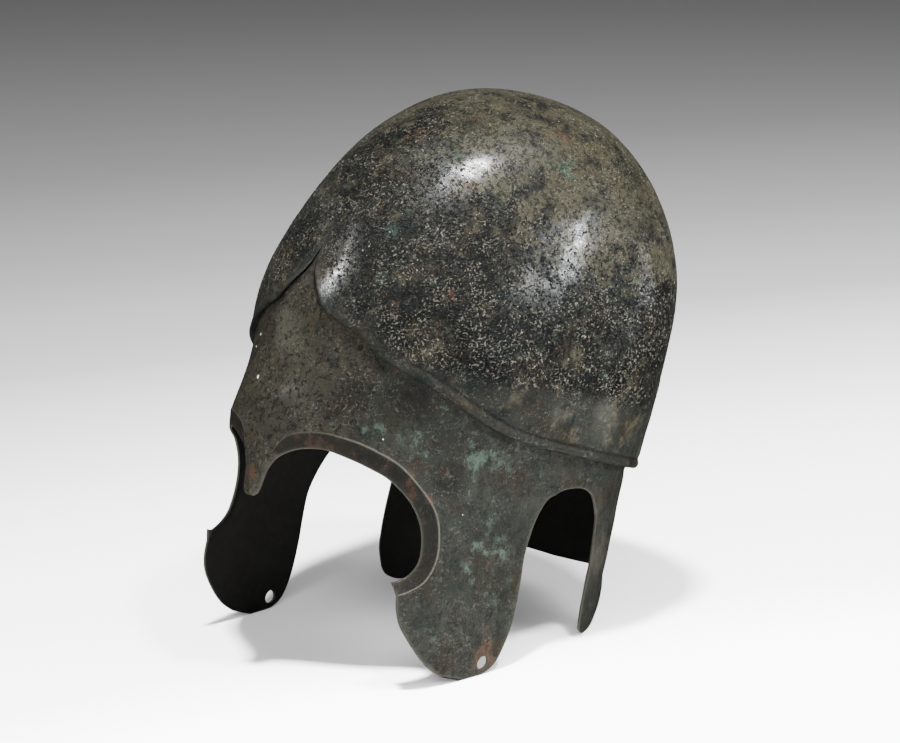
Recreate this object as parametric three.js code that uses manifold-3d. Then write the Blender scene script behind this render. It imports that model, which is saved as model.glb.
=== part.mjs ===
// Open-faced bronze helmet with a raised skull, a carinated ridge, a short nose guard,
// rounded cheek guards and a neck guard. It is modelled upright, face toward -Y and the
// wearer's left at +X, and then leans back to stand on its cheek guards and neck guard.
import * as THREE from 'three';
import { mergeVertices } from 'three/addons/utils/BufferGeometryUtils.js';
import Module from 'manifold-3d';

// Driving dimensions in millimetres. Reaches are measured at the widest level of the skull.
const SIDE_REACH = 93.5;
const FRONT_REACH = 129.5;
const BACK_REACH = 93.2;
const CROWN_RISE = 130.5;
const CROWN_LEAD = 5;
const CHEEK_DROP = 170;
const SHEET = 1.5;
const SEAM = 0.3;
const CUT_OVERRUN = 4;

// The skull stands proud of the wall below it by a step that grows from the apex to the nape.
const STEP_APEX = 0.8;
const STEP_BROW = 3.2;
const STEP_NAPE = 5.5;
const LIP_HEIGHT = 9;
const BEAD_RISE = 0.7;
const APEX_FADE = 34;
const STEP_FIRST_ANGLE = -60;
const STEP_FULL_ANGLE = 40;
const BEAD_FULL_ANGLE = 0;
const CROWN_STEP_SHARE = 0.35;
const CROWN_FADE_SHARE = 0.6;

// Raised and turned work on the wall.
const RIM_BEVEL = 2.2;
const RIM_BEVEL_POWER = 1.3;
const KEEL_HEAD_SHARE = -0.12;
const KEEL_FOOT_SHARE = 0.42;
const KEEL_RISE = 1.3;
const KEEL_HALF_WIDTH = 9;
const NOSE_RIDGE_RISE = 1.6;
const NOSE_RIDGE_HEAD_SHARE = 0.3;
const NOSE_FOOT_SHARE = 0.75;
const FOOT_SPREAD = 2.4;
const FOOT_SPREAD_HEIGHT = 20;
const SPREAD_FIRST_ANGLE = 32;
const SPREAD_FULL_ANGLE = 55;
const TIE_HOLE_RADIUS = 3.4;
const REST_FLAT_DEPTH = 0.5;

// Fineness of the welding of shared corners, as a share of the sheet's thickness.
const WELD_SHARE = 0.001;

// Shapes of the horizontal plan sections. An exponent of 2 is an ellipse and more is squarer.
const FRONT_PLAN_POWER = 2.02;
const BACK_PLAN_POWER = 2.08;
const FRONT_PLAN_POWER_GAIN = 0.87;
const BACK_PLAN_POWER_GAIN = 0.18;
const CROWN_EGG_SHARE = 0.2;
const WALL_EGG_SHARE = 0.05;
const EGG_RISE_SHARE = 0.46;

// Exponents of the skull's profile from the widest level up to the crown.
const SIDE_PROFILE_POWER = 2.47;
const FRONT_PROFILE_POWER = 1.71;
const BACK_PROFILE_POWER = 2.07;

// Wall below the widest level: drop, then side, front and back reach, all as shares. The row
// above that level mirrors the one below it, so the wall leaves the level upright.
const wallShares = [
  [-0.1, 0.959, 1.001, 1.031],
  [0, 1, 1, 1],
  [0.1, 0.959, 1.001, 1.031],
  [0.2, 0.897, 1.015, 1.076],
  [0.3, 0.864, 1.04, 1.099],
  [0.4, 0.857, 1.055, 1.104],
  [0.6, 0.884, 1.057, 1.078],
  [0.8, 0.884, 1.099, 1.027],
  [1, 0.86, 1.197, 0.94],
];

// Places on the sheet are a turn in degrees, from the left ear at 0 to the face at -90 and the
// nape at 90, and a drop below the widest level as a share of the cheek drop.
const ridgeShares = [
  [-90, -0.176],
  [-89, -0.13],
  [-85.7, -0.074],
  [-82.8, -0.037],
  [-79.7, -0.003],
  [-75, 0.018],
  [-66, 0.058],
  [-57, 0.107],
  [-44, 0.15],
  [-32, 0.196],
  [-17, 0.25],
  [0, 0.266],
  [40, 0.275],
  [90, 0.282],
];

// Rim of the face opening from the nose guard round the eye to the cheek's front corner:
// the cut edge first, then the crease at the band's outer side.
const rimShares = [
  [-82, 0.435, -85.4, 0.435],
  [-78, 0.417, -82, 0.385],
  [-73.5, 0.404, -76.5, 0.36],
  [-66, 0.395, -67.5, 0.345],
  [-57, 0.406, -57.3, 0.349],
  [-50, 0.421, -49, 0.366],
  [-43.5, 0.442, -41.2, 0.394],
  [-37, 0.486, -33.2, 0.456],
  [-32.7, 0.542, -28.6, 0.512],
  [-30.6, 0.6, -26.4, 0.58],
  [-29.8, 0.656, -25.5, 0.65],
  [-31.2, 0.697, -26.8, 0.712],
  [-34, 0.723, -30.1, 0.749],
  [-36, 0.732, -33.4, 0.769],
];

// Nose guard: drop, half its spread in degrees, then the inner field's half spread.
const noseShares = [
  [0.435, 8, 4.6],
  [0.452, 5.6, 3.9],
  [0.48, 3.6, 2.6],
  [0.51, 2.6, 1.7],
  [0.54, 2.1, 1.2],
  [0.563, 1.5, 0.7],
  [0.576, 0.5, 0.2],
];

const cheekFrontShares = [
  [-33.4, 0.769],
  [-32, 0.806],
  [-29.3, 0.85],
  [-25.1, 0.892],
  [-17.8, 0.955],
  [-13, 0.982],
];
const cheekRearShares = [
  [-3, 0.5],
  [-3.6, 0.58],
  [-3, 0.67],
  [-2.5, 0.76],
  [-2.5, 0.84],
  [-3.1, 0.92],
  [-5, 0.963],
  [-8, 0.984],
];
const earArchShares = [
  [-3, 0.5],
  [-2, 0.448],
  [-0.2, 0.401],
  [3.8, 0.374],
  [10.5, 0.363],
  [16.6, 0.38],
  [21, 0.435],
];
const neckFrontShares = [
  [21, 0.435],
  [22, 0.5],
  [22.4, 0.58],
  [23, 0.66],
  [24, 0.72],
  [26.5, 0.777],
];
const neckBottomShares = [
  [26.5, 0.777],
  [29, 0.799],
  [34, 0.805],
  [40, 0.785],
  [47, 0.735],
  [54, 0.675],
  [61, 0.63],
  [70, 0.612],
  [80, 0.614],
  [90, 0.617],
];
const TIE_HOLE_ANGLE = -5.4;
const TIE_HOLE_SHARE = 0.925;

// Where the sheet is divided: beside the brow, behind the ear arch and across the cheeks.
const APEX_ANGLE = -78;
const BROW_ANGLE = -52;
const EAR_ANGLE = 21;
const CHEEK_TOP_SHARE = 0.5;

// Facet counts.
const APEX_COLUMNS = 8;
const BROW_COLUMNS = 8;
const SIDE_COLUMNS = 22;
const NAPE_COLUMNS = 14;
const RIM_COLUMNS = 39;
const RIM_ROWS = 4;
const NOSE_COLUMNS = 10;
const NOSE_ROWS = 10;
const BROW_FOOT_COLUMNS = 6;
const CHEEK_LINE_COLUMNS = 5;
const EAR_COLUMNS = 11;
const CHEEK_COLUMNS = 10;
const CHEEK_ROWS = 20;
const NECK_TOP_ROWS = 3;
const NECK_ROWS = 7;
const WALL_ROWS = 6;
const SKULL_ROWS = 13;
const HOLE_SIDES = 20;
const LEAN_HALVINGS = 20;
const CREASE_POINTS = 12;
const EYE_TOP_ROWS = 6;

const solids = await Module();
solids.setup();

// Smooth value from rows whose first entry is the place: a cubic through every row.
function readRows(rows, place, column) {
  const last = rows.length - 1;
  const slope = (i) => {
    const low = rows[Math.max(i - 1, 0)];
    const high = rows[Math.min(i + 1, last)];
    return (high[column] - low[column]) / (high[0] - low[0]);
  };
  let i = 0;
  while (i < last - 1 && place > rows[i + 1][0]) i += 1;
  const span = rows[i + 1][0] - rows[i][0];
  const t = (place - rows[i][0]) / span;
  const risen = t * t * (3 - 2 * t);
  return rows[i][column] * (1 - risen) + rows[i + 1][column] * risen
    + span * t * (1 - t) * ((1 - t) * slope(i) - t * slope(i + 1));
}

const smooth = THREE.MathUtils.smoothstep;
const mix = THREE.MathUtils.lerp;

// Side, front and back reach of the plan section at a drop below the widest level.
function reachesAt(drop) {
  if (drop > 0) {
    const share = drop / CHEEK_DROP;
    return {
      side: SIDE_REACH * readRows(wallShares, share, 1),
      front: FRONT_REACH * readRows(wallShares, share, 2),
      back: BACK_REACH * readRows(wallShares, share, 3),
      lead: 0,
    };
  }
  const up = Math.min(-drop / CROWN_RISE, 1);
  const closing = (power) => (1 - up ** power) ** (1 / power);
  return {
    side: SIDE_REACH * closing(SIDE_PROFILE_POWER),
    front: FRONT_REACH * closing(FRONT_PROFILE_POWER),
    back: BACK_REACH * closing(BACK_PROFILE_POWER),
    lead: CROWN_LEAD * up * up,
  };
}

// Point of the bare wall surface at a turn in degrees and a drop.
function wallPoint(turn, drop) {
  const reach = reachesAt(drop);
  const across = Math.cos(THREE.MathUtils.degToRad(turn));
  const along = Math.sin(THREE.MathUtils.degToRad(turn));
  const lowShare = Math.max(drop, 0) / CHEEK_DROP;
  const power = along < 0
    ? FRONT_PLAN_POWER + FRONT_PLAN_POWER_GAIN * lowShare
    : BACK_PLAN_POWER + BACK_PLAN_POWER_GAIN * lowShare;
  const upShare = smooth(-drop / CROWN_RISE, 0, EGG_RISE_SHARE);
  const egg = mix(WALL_EGG_SHARE * (1 - lowShare), CROWN_EGG_SHARE, upShare);
  const side = Math.sign(across) * Math.abs(across) ** (2 / power);
  const depth = Math.sign(along) * Math.abs(along) ** (2 / power);
  return new THREE.Vector3(
    reach.side * side * (1 + egg * along),
    (along < 0 ? reach.front : reach.back) * depth - reach.lead,
    -drop,
  );
}

// Outward direction of the wall, from its slopes a little to each side.
const PROBE_ANGLE = 0.3;
const PROBE_SHARE = 0.002;
function wallNormal(turn, drop) {
  if (drop <= -CROWN_RISE) return new THREE.Vector3(0, 0, 1);
  const probe = PROBE_SHARE * CHEEK_DROP;
  const high = Math.max(drop - probe, -CROWN_RISE);
  const round = wallPoint(turn + PROBE_ANGLE, drop).sub(wallPoint(turn - PROBE_ANGLE, drop));
  const up = wallPoint(turn, high).sub(wallPoint(turn, drop + probe));
  return round.cross(up).normalize();
}

function sheetPoint(turn, drop, outset) {
  return wallPoint(turn, drop).addScaledVector(wallNormal(turn, drop), outset);
}

// The same turn on the left half of the helmet, and the matching turn on the other half.
const halfTurn = (turn) => (turn < -90 ? -180 - turn : turn > 90 ? 180 - turn : turn);
const mirrorTurn = (turn) => (turn < 0 ? -180 - turn : 180 - turn);
const acrossFace = (place) => new THREE.Vector2(mirrorTurn(place.x), place.y);
const ridgeDrop = (turn) => CHEEK_DROP * readRows(ridgeShares, halfTurn(turn), 1);

// Place one seam below the ridge, measured square to it where it runs steeply.
function belowRidge(turn) {
  const next = turn + PROBE_ANGLE;
  const drop = ridgeDrop(turn);
  const run = wallPoint(turn, drop).distanceTo(wallPoint(next, drop));
  return new THREE.Vector2(turn, drop + SEAM * Math.hypot(1, (ridgeDrop(next) - drop) / run));
}

// Height of the skull above the wall surface, growing from the brow to the nape. It dies away
// round the apex of the ridge, where forehead and skull run into each other.
function skullStep(turn, drop) {
  const browToNape = smooth(halfTurn(turn), STEP_FIRST_ANGLE, STEP_FULL_ANGLE);
  const apart = wallPoint(turn, drop).distanceTo(wallPoint(-90, ridgeDrop(-90)));
  const apexShare = smooth(apart, 0, APEX_FADE);
  return mix(STEP_APEX, mix(STEP_BROW, STEP_NAPE, browToNape), apexShare);
}

// Closed plate between two layers of points, each a grid with rows running downward.
function closedSolid(outer, inner) {
  const rows = outer.length;
  const columns = outer[0].length;
  const positions = [...outer.flat(), ...inner.flat()].flatMap((p) => [p.x, p.y, p.z]);
  const faces = [];
  const quad = (a, b, c, d) => faces.push(a, b, c, a, c, d);
  const front = (i, j) => i * columns + j;
  const rear = (i, j) => rows * columns + front(i, j);
  const foot = rows - 1;
  const end = columns - 1;
  for (let i = 0; i < foot; i += 1) {
    for (let j = 0; j < end; j += 1) {
      quad(front(i, j), front(i + 1, j), front(i + 1, j + 1), front(i, j + 1));
      quad(rear(i, j), rear(i, j + 1), rear(i + 1, j + 1), rear(i + 1, j));
    }
    quad(front(i + 1, 0), front(i, 0), rear(i, 0), rear(i + 1, 0));
    quad(front(i, end), front(i + 1, end), rear(i + 1, end), rear(i, end));
  }
  for (let j = 0; j < end; j += 1) {
    quad(front(0, j), front(0, j + 1), rear(0, j + 1), rear(0, j));
    quad(front(foot, j + 1), front(foot, j), rear(foot, j), rear(foot, j + 1));
  }
  return meshFrom(positions, faces);
}

function meshFrom(positions, faces) {
  const geometry = new THREE.BufferGeometry();
  geometry.setAttribute('position', new THREE.Float32BufferAttribute(positions, 3));
  geometry.setIndex(faces);
  return geometry;
}

// Sheet of even thickness over a grid of places, rows running downward.
function sheetSolid(grid, outsetAt) {
  const layer = (depth) => grid.map((row, i) => row.map((place, j) => (
    sheetPoint(place.x, place.y, outsetAt(place, i, j) - depth)
  )));
  return closedSolid(layer(0), layer(SHEET));
}

// Grid between four borders. Top and bottom run alike, and so do left and right.
function borderedGrid(top, bottom, left, right) {
  const rows = left.length;
  const columns = top.length;
  return left.map((start, i) => top.map((head, j) => {
    const t = i / (rows - 1);
    const s = j / (columns - 1);
    const corner = (value) => (
      (1 - s) * (1 - t) * top[0][value] + s * (1 - t) * top[columns - 1][value]
      + (1 - s) * t * bottom[0][value] + s * t * bottom[columns - 1][value]
    );
    const blend = (value) => (
      (1 - t) * head[value] + t * bottom[j][value]
      + (1 - s) * start[value] + s * right[i][value] - corner(value)
    );
    return new THREE.Vector2(blend('x'), blend('y'));
  }));
}

// Smooth line through places, whose turns stand in one column of rows and drop shares in the
// next, and evenly spaced points along it.
const lineThrough = (rows, first) => new THREE.SplineCurve(
  rows.map((row) => new THREE.Vector2(row[first], row[first + 1] * CHEEK_DROP)),
);
const placesAlong = (rows, count) => lineThrough(rows, 0).getSpacedPoints(count);

const straight = (from, to, count) => Array.from({ length: count + 1 }, (_, i) => (
  from.clone().lerp(to, i / count)
));
const turnsBetween = (low, high, count) => Array.from({ length: count + 1 }, (_, i) => (
  mix(low, high, i / count)
));

// Turns across the left half of the brow, close together where the arms of the ridge meet.
const browTurns = [
  ...turnsBetween(-90, APEX_ANGLE, APEX_COLUMNS).slice(0, -1),
  ...turnsBetween(APEX_ANGLE, BROW_ANGLE, BROW_COLUMNS),
];
const seamTurn = THREE.MathUtils.radToDeg(SEAM / SIDE_REACH);

// The crease of the rim as one fine line, read by turn over the eye and by drop beside it.
const edgeLine = lineThrough(rimShares, 0);
const creaseLine = lineThrough(rimShares, 2);
const creasePlaces = creaseLine.getPoints((rimShares.length - 1) * CREASE_POINTS);
const creaseAbove = EYE_TOP_ROWS * CREASE_POINTS;
function creaseCrossing(key, value, from) {
  for (let i = from; i < creasePlaces.length - 1; i += 1) {
    const a = creasePlaces[i];
    const b = creasePlaces[i + 1];
    if ((a[key] - value) * (b[key] - value) <= 0) {
      return a.clone().lerp(b, (value - a[key]) / (b[key] - a[key]));
    }
  }
  return creasePlaces[creasePlaces.length - 1].clone();
}

// Relief of the wall: a keel down the middle of the forehead.
function wallRelief(place) {
  const folded = halfTurn(place.x);
  const aside = wallPoint(folded, place.y).x / KEEL_HALF_WIDTH;
  const lowShare = place.y / CHEEK_DROP;
  const keelShare = folded < 0 ? smooth(lowShare, KEEL_HEAD_SHARE, KEEL_FOOT_SHARE) : 0;
  return KEEL_RISE * keelShare * Math.exp(-aside * aside);
}

// Section of the skull's lip from its foot up: heights as shares of the lip's height, then the
// outer face as a share of the step and of the bead, then the inner face as a share of the
// step and of the sheet's thickness.
const lipShares = [
  [0, 0, 0, 0, -1],
  [0.02, 0.6, 0, 0, -1],
  [0.12, 1, 0, 0.3, -1],
  [0.35, 1, 1, 1, -1],
  [0.65, 1, 0, 1, -1],
];

// The skull: a lip that steps out from the wall, and a dome that closes at the crown.
function skullGeometry() {
  const half = [
    ...browTurns.slice(0, -1),
    ...turnsBetween(BROW_ANGLE, EAR_ANGLE, SIDE_COLUMNS / 2).slice(0, -1),
    ...turnsBetween(EAR_ANGLE, 90, NAPE_COLUMNS / 2),
  ];
  const turns = [...half, ...half.slice(1, -1).reverse().map(mirrorTurn)];
  const lip = lipShares.map(([rise, step, bead, backStep, back]) => (
    (turn, layer) => {
      const drop = ridgeDrop(turn) - rise * LIP_HEIGHT;
      const full = skullStep(turn, drop);
      const beadRise = BEAD_RISE * smooth(halfTurn(turn), STEP_FIRST_ANGLE, BEAD_FULL_ANGLE);
      const outset = layer === 0 ? full * step + beadRise * bead : full * backStep + SHEET * back;
      return sheetPoint(turn, drop, outset);
    }
  ));
  const dome = Array.from({ length: SKULL_ROWS }, (_, i) => (
    (turn, layer) => {
      const foot = ridgeDrop(turn) - LIP_HEIGHT;
      const share = Math.sin((i / SKULL_ROWS) * (Math.PI / 2));
      const drop = mix(foot, -CROWN_RISE, share);
      return domePoint(turn, drop, share, layer);
    }
  ));
  const rows = [...lip, ...dome].reverse();
  const ring = (layer) => rows.map((row) => turns.map((turn) => row(turn, layer)));
  return crownedSolid(ring(0), ring(1));
}

// Above the lip the step evens out on its way to the crown.
const CROWN_STEP = mix(STEP_BROW, STEP_NAPE, CROWN_STEP_SHARE);
function domePoint(turn, drop, share, layer) {
  const step = mix(skullStep(turn, drop), CROWN_STEP, smooth(share, 0, CROWN_FADE_SHARE));
  return sheetPoint(turn, drop, step - SHEET * layer);
}

// Closed bowl: rings running down from the crown, capped by one point on each face.
function crownedSolid(outer, inner) {
  const columns = outer[0].length;
  const rows = outer.length;
  const top = domePoint(0, -CROWN_RISE, 1, 0);
  const under = domePoint(0, -CROWN_RISE, 1, 1);
  const points = [...outer.flat(), ...inner.flat(), top, under];
  const faces = [];
  const front = (i, j) => i * columns + (j % columns);
  const rear = (i, j) => rows * columns + front(i, j);
  const crown = points.length - 2;
  const foot = rows - 1;
  for (let j = 0; j < columns; j += 1) {
    for (let i = 0; i < foot; i += 1) {
      faces.push(front(i, j), front(i + 1, j), front(i + 1, j + 1));
      faces.push(front(i, j), front(i + 1, j + 1), front(i, j + 1));
      faces.push(rear(i, j), rear(i + 1, j + 1), rear(i + 1, j));
      faces.push(rear(i, j), rear(i, j + 1), rear(i + 1, j + 1));
    }
    faces.push(front(foot, j), rear(foot, j), rear(foot, j + 1));
    faces.push(front(foot, j), rear(foot, j + 1), front(foot, j + 1));
    faces.push(crown, front(0, j), front(0, j + 1));
    faces.push(crown + 1, rear(0, j + 1), rear(0, j));
  }
  return meshFrom(points.flatMap((p) => [p.x, p.y, p.z]), faces);
}

// Forehead plate between the arms of the ridge, down to the rims and the nose guard.
function browGeometry() {
  const noseTop = noseShares[0][0] * CHEEK_DROP;
  const shifted = (turn) => (turn === BROW_ANGLE ? turn - seamTurn : turn);
  const top = browTurns.map((turn) => new THREE.Vector2(shifted(turn), belowRidge(turn).y));
  const bottom = browTurns.map((turn) => {
    const foot = turn < rimShares[0][2] ? noseTop : creaseCrossing('x', turn, 0).y - SEAM;
    return new THREE.Vector2(shifted(turn), foot);
  });
  const whole = (line) => [...line.slice(1).reverse().map(acrossFace), ...line];
  const heads = whole(top);
  const feet = whole(bottom);
  const left = straight(heads[0], feet[0], WALL_ROWS + 2);
  const right = straight(heads[heads.length - 1], feet[feet.length - 1], WALL_ROWS + 2);
  return sheetSolid(borderedGrid(heads, feet, left, right), wallRelief);
}

// Nose guard: a narrowing tongue with a ridge down its middle and a turned rim round it.
function noseGeometry() {
  const first = noseShares[0][0];
  const last = noseShares[noseShares.length - 1][0];
  const grid = [];
  const inner = [];
  for (let i = 0; i <= NOSE_ROWS; i += 1) {
    const share = mix(first, last, Math.sin((i / NOSE_ROWS) * (Math.PI / 2)));
    const spread = readRows(noseShares, share, 1);
    inner.push(readRows(noseShares, share, 2) / spread);
    grid.push(turnsBetween(-1, 1, NOSE_COLUMNS).map((aside) => (
      new THREE.Vector2(-90 + aside * spread, share * CHEEK_DROP + (i === 0 ? SEAM : 0))
    )));
  }
  const headShare = (i) => smooth(i / NOSE_ROWS, 0, NOSE_RIDGE_HEAD_SHARE);
  const footShare = (i) => smooth(i / NOSE_ROWS, NOSE_FOOT_SHARE, 1);
  return sheetSolid(grid, (place, i, j) => {
    const aside = Math.abs((2 * j) / NOSE_COLUMNS - 1);
    const rimShare = Math.max(smooth(aside, inner[i], 1), footShare(i));
    const ridge = NOSE_RIDGE_RISE * (1 - aside) ** 2 * headShare(i);
    return wallRelief(place) * (1 - ridge / NOSE_RIDGE_RISE) + ridge * (1 - footShare(i))
      - RIM_BEVEL * rimShare;
  });
}

// Rim round one side of the face opening: a band bevelled inward from its crease.
function rimGeometry() {
  const grid = [];
  for (let i = 0; i <= RIM_ROWS; i += 1) {
    const row = [];
    for (let j = 0; j <= RIM_COLUMNS; j += 1) {
      const crease = creaseLine.getPoint(j / RIM_COLUMNS);
      const edge = edgeLine.getPoint(j / RIM_COLUMNS);
      const width = sheetPoint(crease.x, crease.y, 0).distanceTo(sheetPoint(edge.x, edge.y, 0));
      row.push(crease.lerp(edge, mix(SEAM / width, 1, i / RIM_ROWS)));
    }
    grid.push(row);
  }
  return sheetSolid(grid, (place, i) => (
    wallRelief(place) - RIM_BEVEL * (i / RIM_ROWS) ** RIM_BEVEL_POWER
  ));
}

// Side of the wall between the brow and the neck guard, over the cheek and the ear arch.
function sideGeometry() {
  const turns = turnsBetween(BROW_ANGLE, EAR_ANGLE, SIDE_COLUMNS);
  const shifted = (turn) => mix(turn, (BROW_ANGLE + EAR_ANGLE) / 2, seamTurn / (EAR_ANGLE - BROW_ANGLE));
  const top = turns.map((turn) => belowRidge(shifted(turn)));
  const cheekTop = CHEEK_TOP_SHARE * CHEEK_DROP - SEAM / 2;
  const corner = creaseCrossing('y', cheekTop, creaseAbove);
  const brow = turnsBetween(BROW_ANGLE, corner.x, BROW_FOOT_COLUMNS).map((turn) => {
    const foot = creaseCrossing('x', turn, 0);
    return new THREE.Vector2(turn, foot.y - SEAM);
  });
  const ear = placesAlong(earArchShares, EAR_COLUMNS);
  ear[0].y = cheekTop;
  brow[BROW_FOOT_COLUMNS].y = cheekTop;
  brow[BROW_FOOT_COLUMNS].x += seamTurn;
  const line = straight(brow[BROW_FOOT_COLUMNS], ear[0], CHEEK_LINE_COLUMNS);
  const bottom = [...brow.slice(0, -1), ...line.slice(0, -1), ...ear];
  bottom[0].x = top[0].x;
  bottom[SIDE_COLUMNS].x = top[SIDE_COLUMNS].x;
  const left = straight(top[0], bottom[0], WALL_ROWS);
  const right = straight(top[SIDE_COLUMNS], bottom[SIDE_COLUMNS], WALL_ROWS);
  return sheetSolid(borderedGrid(top, bottom, left, right), wallRelief);
}

// Cheek guard: a long lobe with a hole for the chin tie near the back of its tip.
function cheekGeometry() {
  const cheekTop = CHEEK_TOP_SHARE * CHEEK_DROP + SEAM / 2;
  const rimFoot = cheekFrontShares[0][1] * CHEEK_DROP;
  const beside = turnsBetween(cheekTop, rimFoot, CHEEK_ROWS / 2).map((drop) => {
    const place = creaseCrossing('y', drop, creaseAbove);
    return new THREE.Vector2(place.x + 2 * seamTurn, drop);
  });
  const front = placesAlong(cheekFrontShares, CHEEK_ROWS / 2);
  const left = [...beside.slice(0, -1), ...front];
  const right = placesAlong(cheekRearShares, CHEEK_ROWS);
  right[0].y = cheekTop;
  const top = straight(left[0], right[0], CHEEK_COLUMNS);
  const bottom = straight(left[CHEEK_ROWS], right[CHEEK_ROWS], CHEEK_COLUMNS);
  const sheet = sheetSolid(borderedGrid(top, bottom, left, right), wallRelief);
  return cut(sheet, tieHoleCutter());
}

// Neck guard: a wall round the nape, deepest at its two front corners.
function neckGeometry() {
  const turns = turnsBetween(EAR_ANGLE, 90, NAPE_COLUMNS);
  const top = turns.map(belowRidge);
  const bottom = placesAlong(neckBottomShares, NAPE_COLUMNS);
  const whole = (line) => [...line, ...line.slice(0, -1).reverse().map(acrossFace)];
  const front = placesAlong(neckFrontShares, NECK_ROWS);
  const left = [...straight(top[0], front[0], NECK_TOP_ROWS).slice(0, -1), ...front];
  for (let i = 0; i <= NECK_TOP_ROWS; i += 1) left[i].x += seamTurn;
  const grid = borderedGrid(whole(top), whole(bottom), left, left.map(acrossFace));
  return sheetSolid(grid, (place, i, j) => {
    const foot = grid[grid.length - 1][j].y;
    const turn = halfTurn(place.x);
    const low = smooth(place.y, foot - FOOT_SPREAD_HEIGHT, foot);
    return FOOT_SPREAD * low * low * smooth(turn, SPREAD_FIRST_ANGLE, SPREAD_FULL_ANGLE);
  });
}

// Booleans on closed meshes.
function toSolid(geometry) {
  const bare = geometry.clone();
  bare.deleteAttribute('normal');
  bare.deleteAttribute('uv');
  const merged = mergeVertices(bare, SHEET * WELD_SHARE);
  return new solids.Manifold(new solids.Mesh({
    numProp: 3,
    vertProperties: new Float32Array(merged.attributes.position.array),
    triVerts: new Uint32Array(merged.index.array),
  }));
}

function toGeometry(solid) {
  const mesh = solid.getMesh();
  return meshFrom(Array.from(mesh.vertProperties), Array.from(mesh.triVerts));
}

const cut = (geometry, cutter) => toGeometry(toSolid(geometry).subtract(toSolid(cutter)));

function tieHoleCutter() {
  const drop = TIE_HOLE_SHARE * CHEEK_DROP;
  const length = SHEET + 2 * CUT_OVERRUN;
  const cutter = new THREE.CylinderGeometry(TIE_HOLE_RADIUS, TIE_HOLE_RADIUS, length, HOLE_SIDES);
  const up = new THREE.Vector3(0, 1, 0);
  const outward = wallNormal(TIE_HOLE_ANGLE, drop);
  cutter.applyQuaternion(new THREE.Quaternion().setFromUnitVectors(up, outward));
  const middle = sheetPoint(TIE_HOLE_ANGLE, drop, -SHEET / 2);
  return cutter.translate(middle.x, middle.y, middle.z);
}

// The same piece on the other side of the face.
function mirrored(geometry) {
  const other = geometry.clone();
  other.scale(-1, 1, 1);
  const index = Array.from(other.index.array);
  for (let i = 0; i < index.length; i += 3) [index[i], index[i + 1]] = [index[i + 1], index[i]];
  other.setIndex(index);
  return other;
}

// The standing helmet leans back until the cheek guards and the neck guard reach equally low.
const lowestAt = (geometry, lean) => {
  const standing = geometry.clone().rotateX(-lean);
  standing.computeBoundingBox();
  return standing.boundingBox.min.z;
};
function leanBetween(front, back) {
  let low = 0;
  let high = Math.PI / 3;
  for (let i = 0; i < LEAN_HALVINGS; i += 1) {
    const lean = (low + high) / 2;
    if (lowestAt(front, lean) < lowestAt(back, lean)) low = lean;
    else high = lean;
  }
  return (low + high) / 2;
}

const cheek = cheekGeometry();
const neck = neckGeometry();
const side = sideGeometry();
const rim = rimGeometry();
const lean = leanBetween(cheek, neck);
const restLevel = lowestAt(cheek, lean) + REST_FLAT_DEPTH;

// Its lowest points are worn to small level flats.
function standing(geometry) {
  const width = 2 * (SIDE_REACH + CUT_OVERRUN);
  const length = 2 * (FRONT_REACH + CHEEK_DROP);
  const block = new THREE.BoxGeometry(width, length, CHEEK_DROP);
  block.translate(0, 0, restLevel - CHEEK_DROP / 2);
  return cut(geometry, block.rotateX(lean));
}
const standingCheek = standing(cheek);

const darkBronze = { color: 0x34342c, roughness: 0.5, metalness: 0.6 };
const greenBronze = { color: 0x3f4339, roughness: 0.6, metalness: 0.5 };
const brownBronze = { color: 0x453a2c, roughness: 0.6, metalness: 0.5 };
const pieces = [
  ['skull_dome', skullGeometry(), darkBronze],
  ['brow_plate', browGeometry(), brownBronze],
  ['nose_guard', noseGeometry(), brownBronze],
  ['left_eye_rim', rim, brownBronze],
  ['right_eye_rim', mirrored(rim), brownBronze],
  ['left_side_wall', side, greenBronze],
  ['right_side_wall', mirrored(side), greenBronze],
  ['left_cheek_guard', standingCheek, greenBronze],
  ['right_cheek_guard', mirrored(standingCheek), greenBronze],
  ['neck_guard', standing(neck), greenBronze],
];

const helmet = new THREE.Group();
for (const [name, geometry, finish] of pieces) {
  geometry.computeVertexNormals();
  const mesh = new THREE.Mesh(geometry, new THREE.MeshStandardMaterial(finish));
  mesh.name = name;
  helmet.add(mesh);
}
helmet.rotation.x = -lean;
helmet.updateMatrixWorld(true);

// The origin is the middle of the standing helmet's foot.
const extent = new THREE.Box3().setFromObject(helmet, true);
const middle = extent.getCenter(new THREE.Vector3());
helmet.position.set(0, -middle.y, -extent.min.z);
const part = new THREE.Group();
part.add(helmet);
export default part;
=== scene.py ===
"""Studio scene of an open-faced bronze helmet with an aged patina.

The raised sheet is shaped in millimetres round the wearer's head, then leaned back and
shifted into the model's frame in metres. Its pieces ride on the one body of the frame.
"""

from __future__ import annotations

import logging
import math
from dataclasses import dataclass, field
from enum import Enum
from typing import Any, Iterable, Iterator, Sequence

import bpy
import numpy as np
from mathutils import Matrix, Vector
from mathutils.geometry import delaunay_2d_cdt

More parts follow.
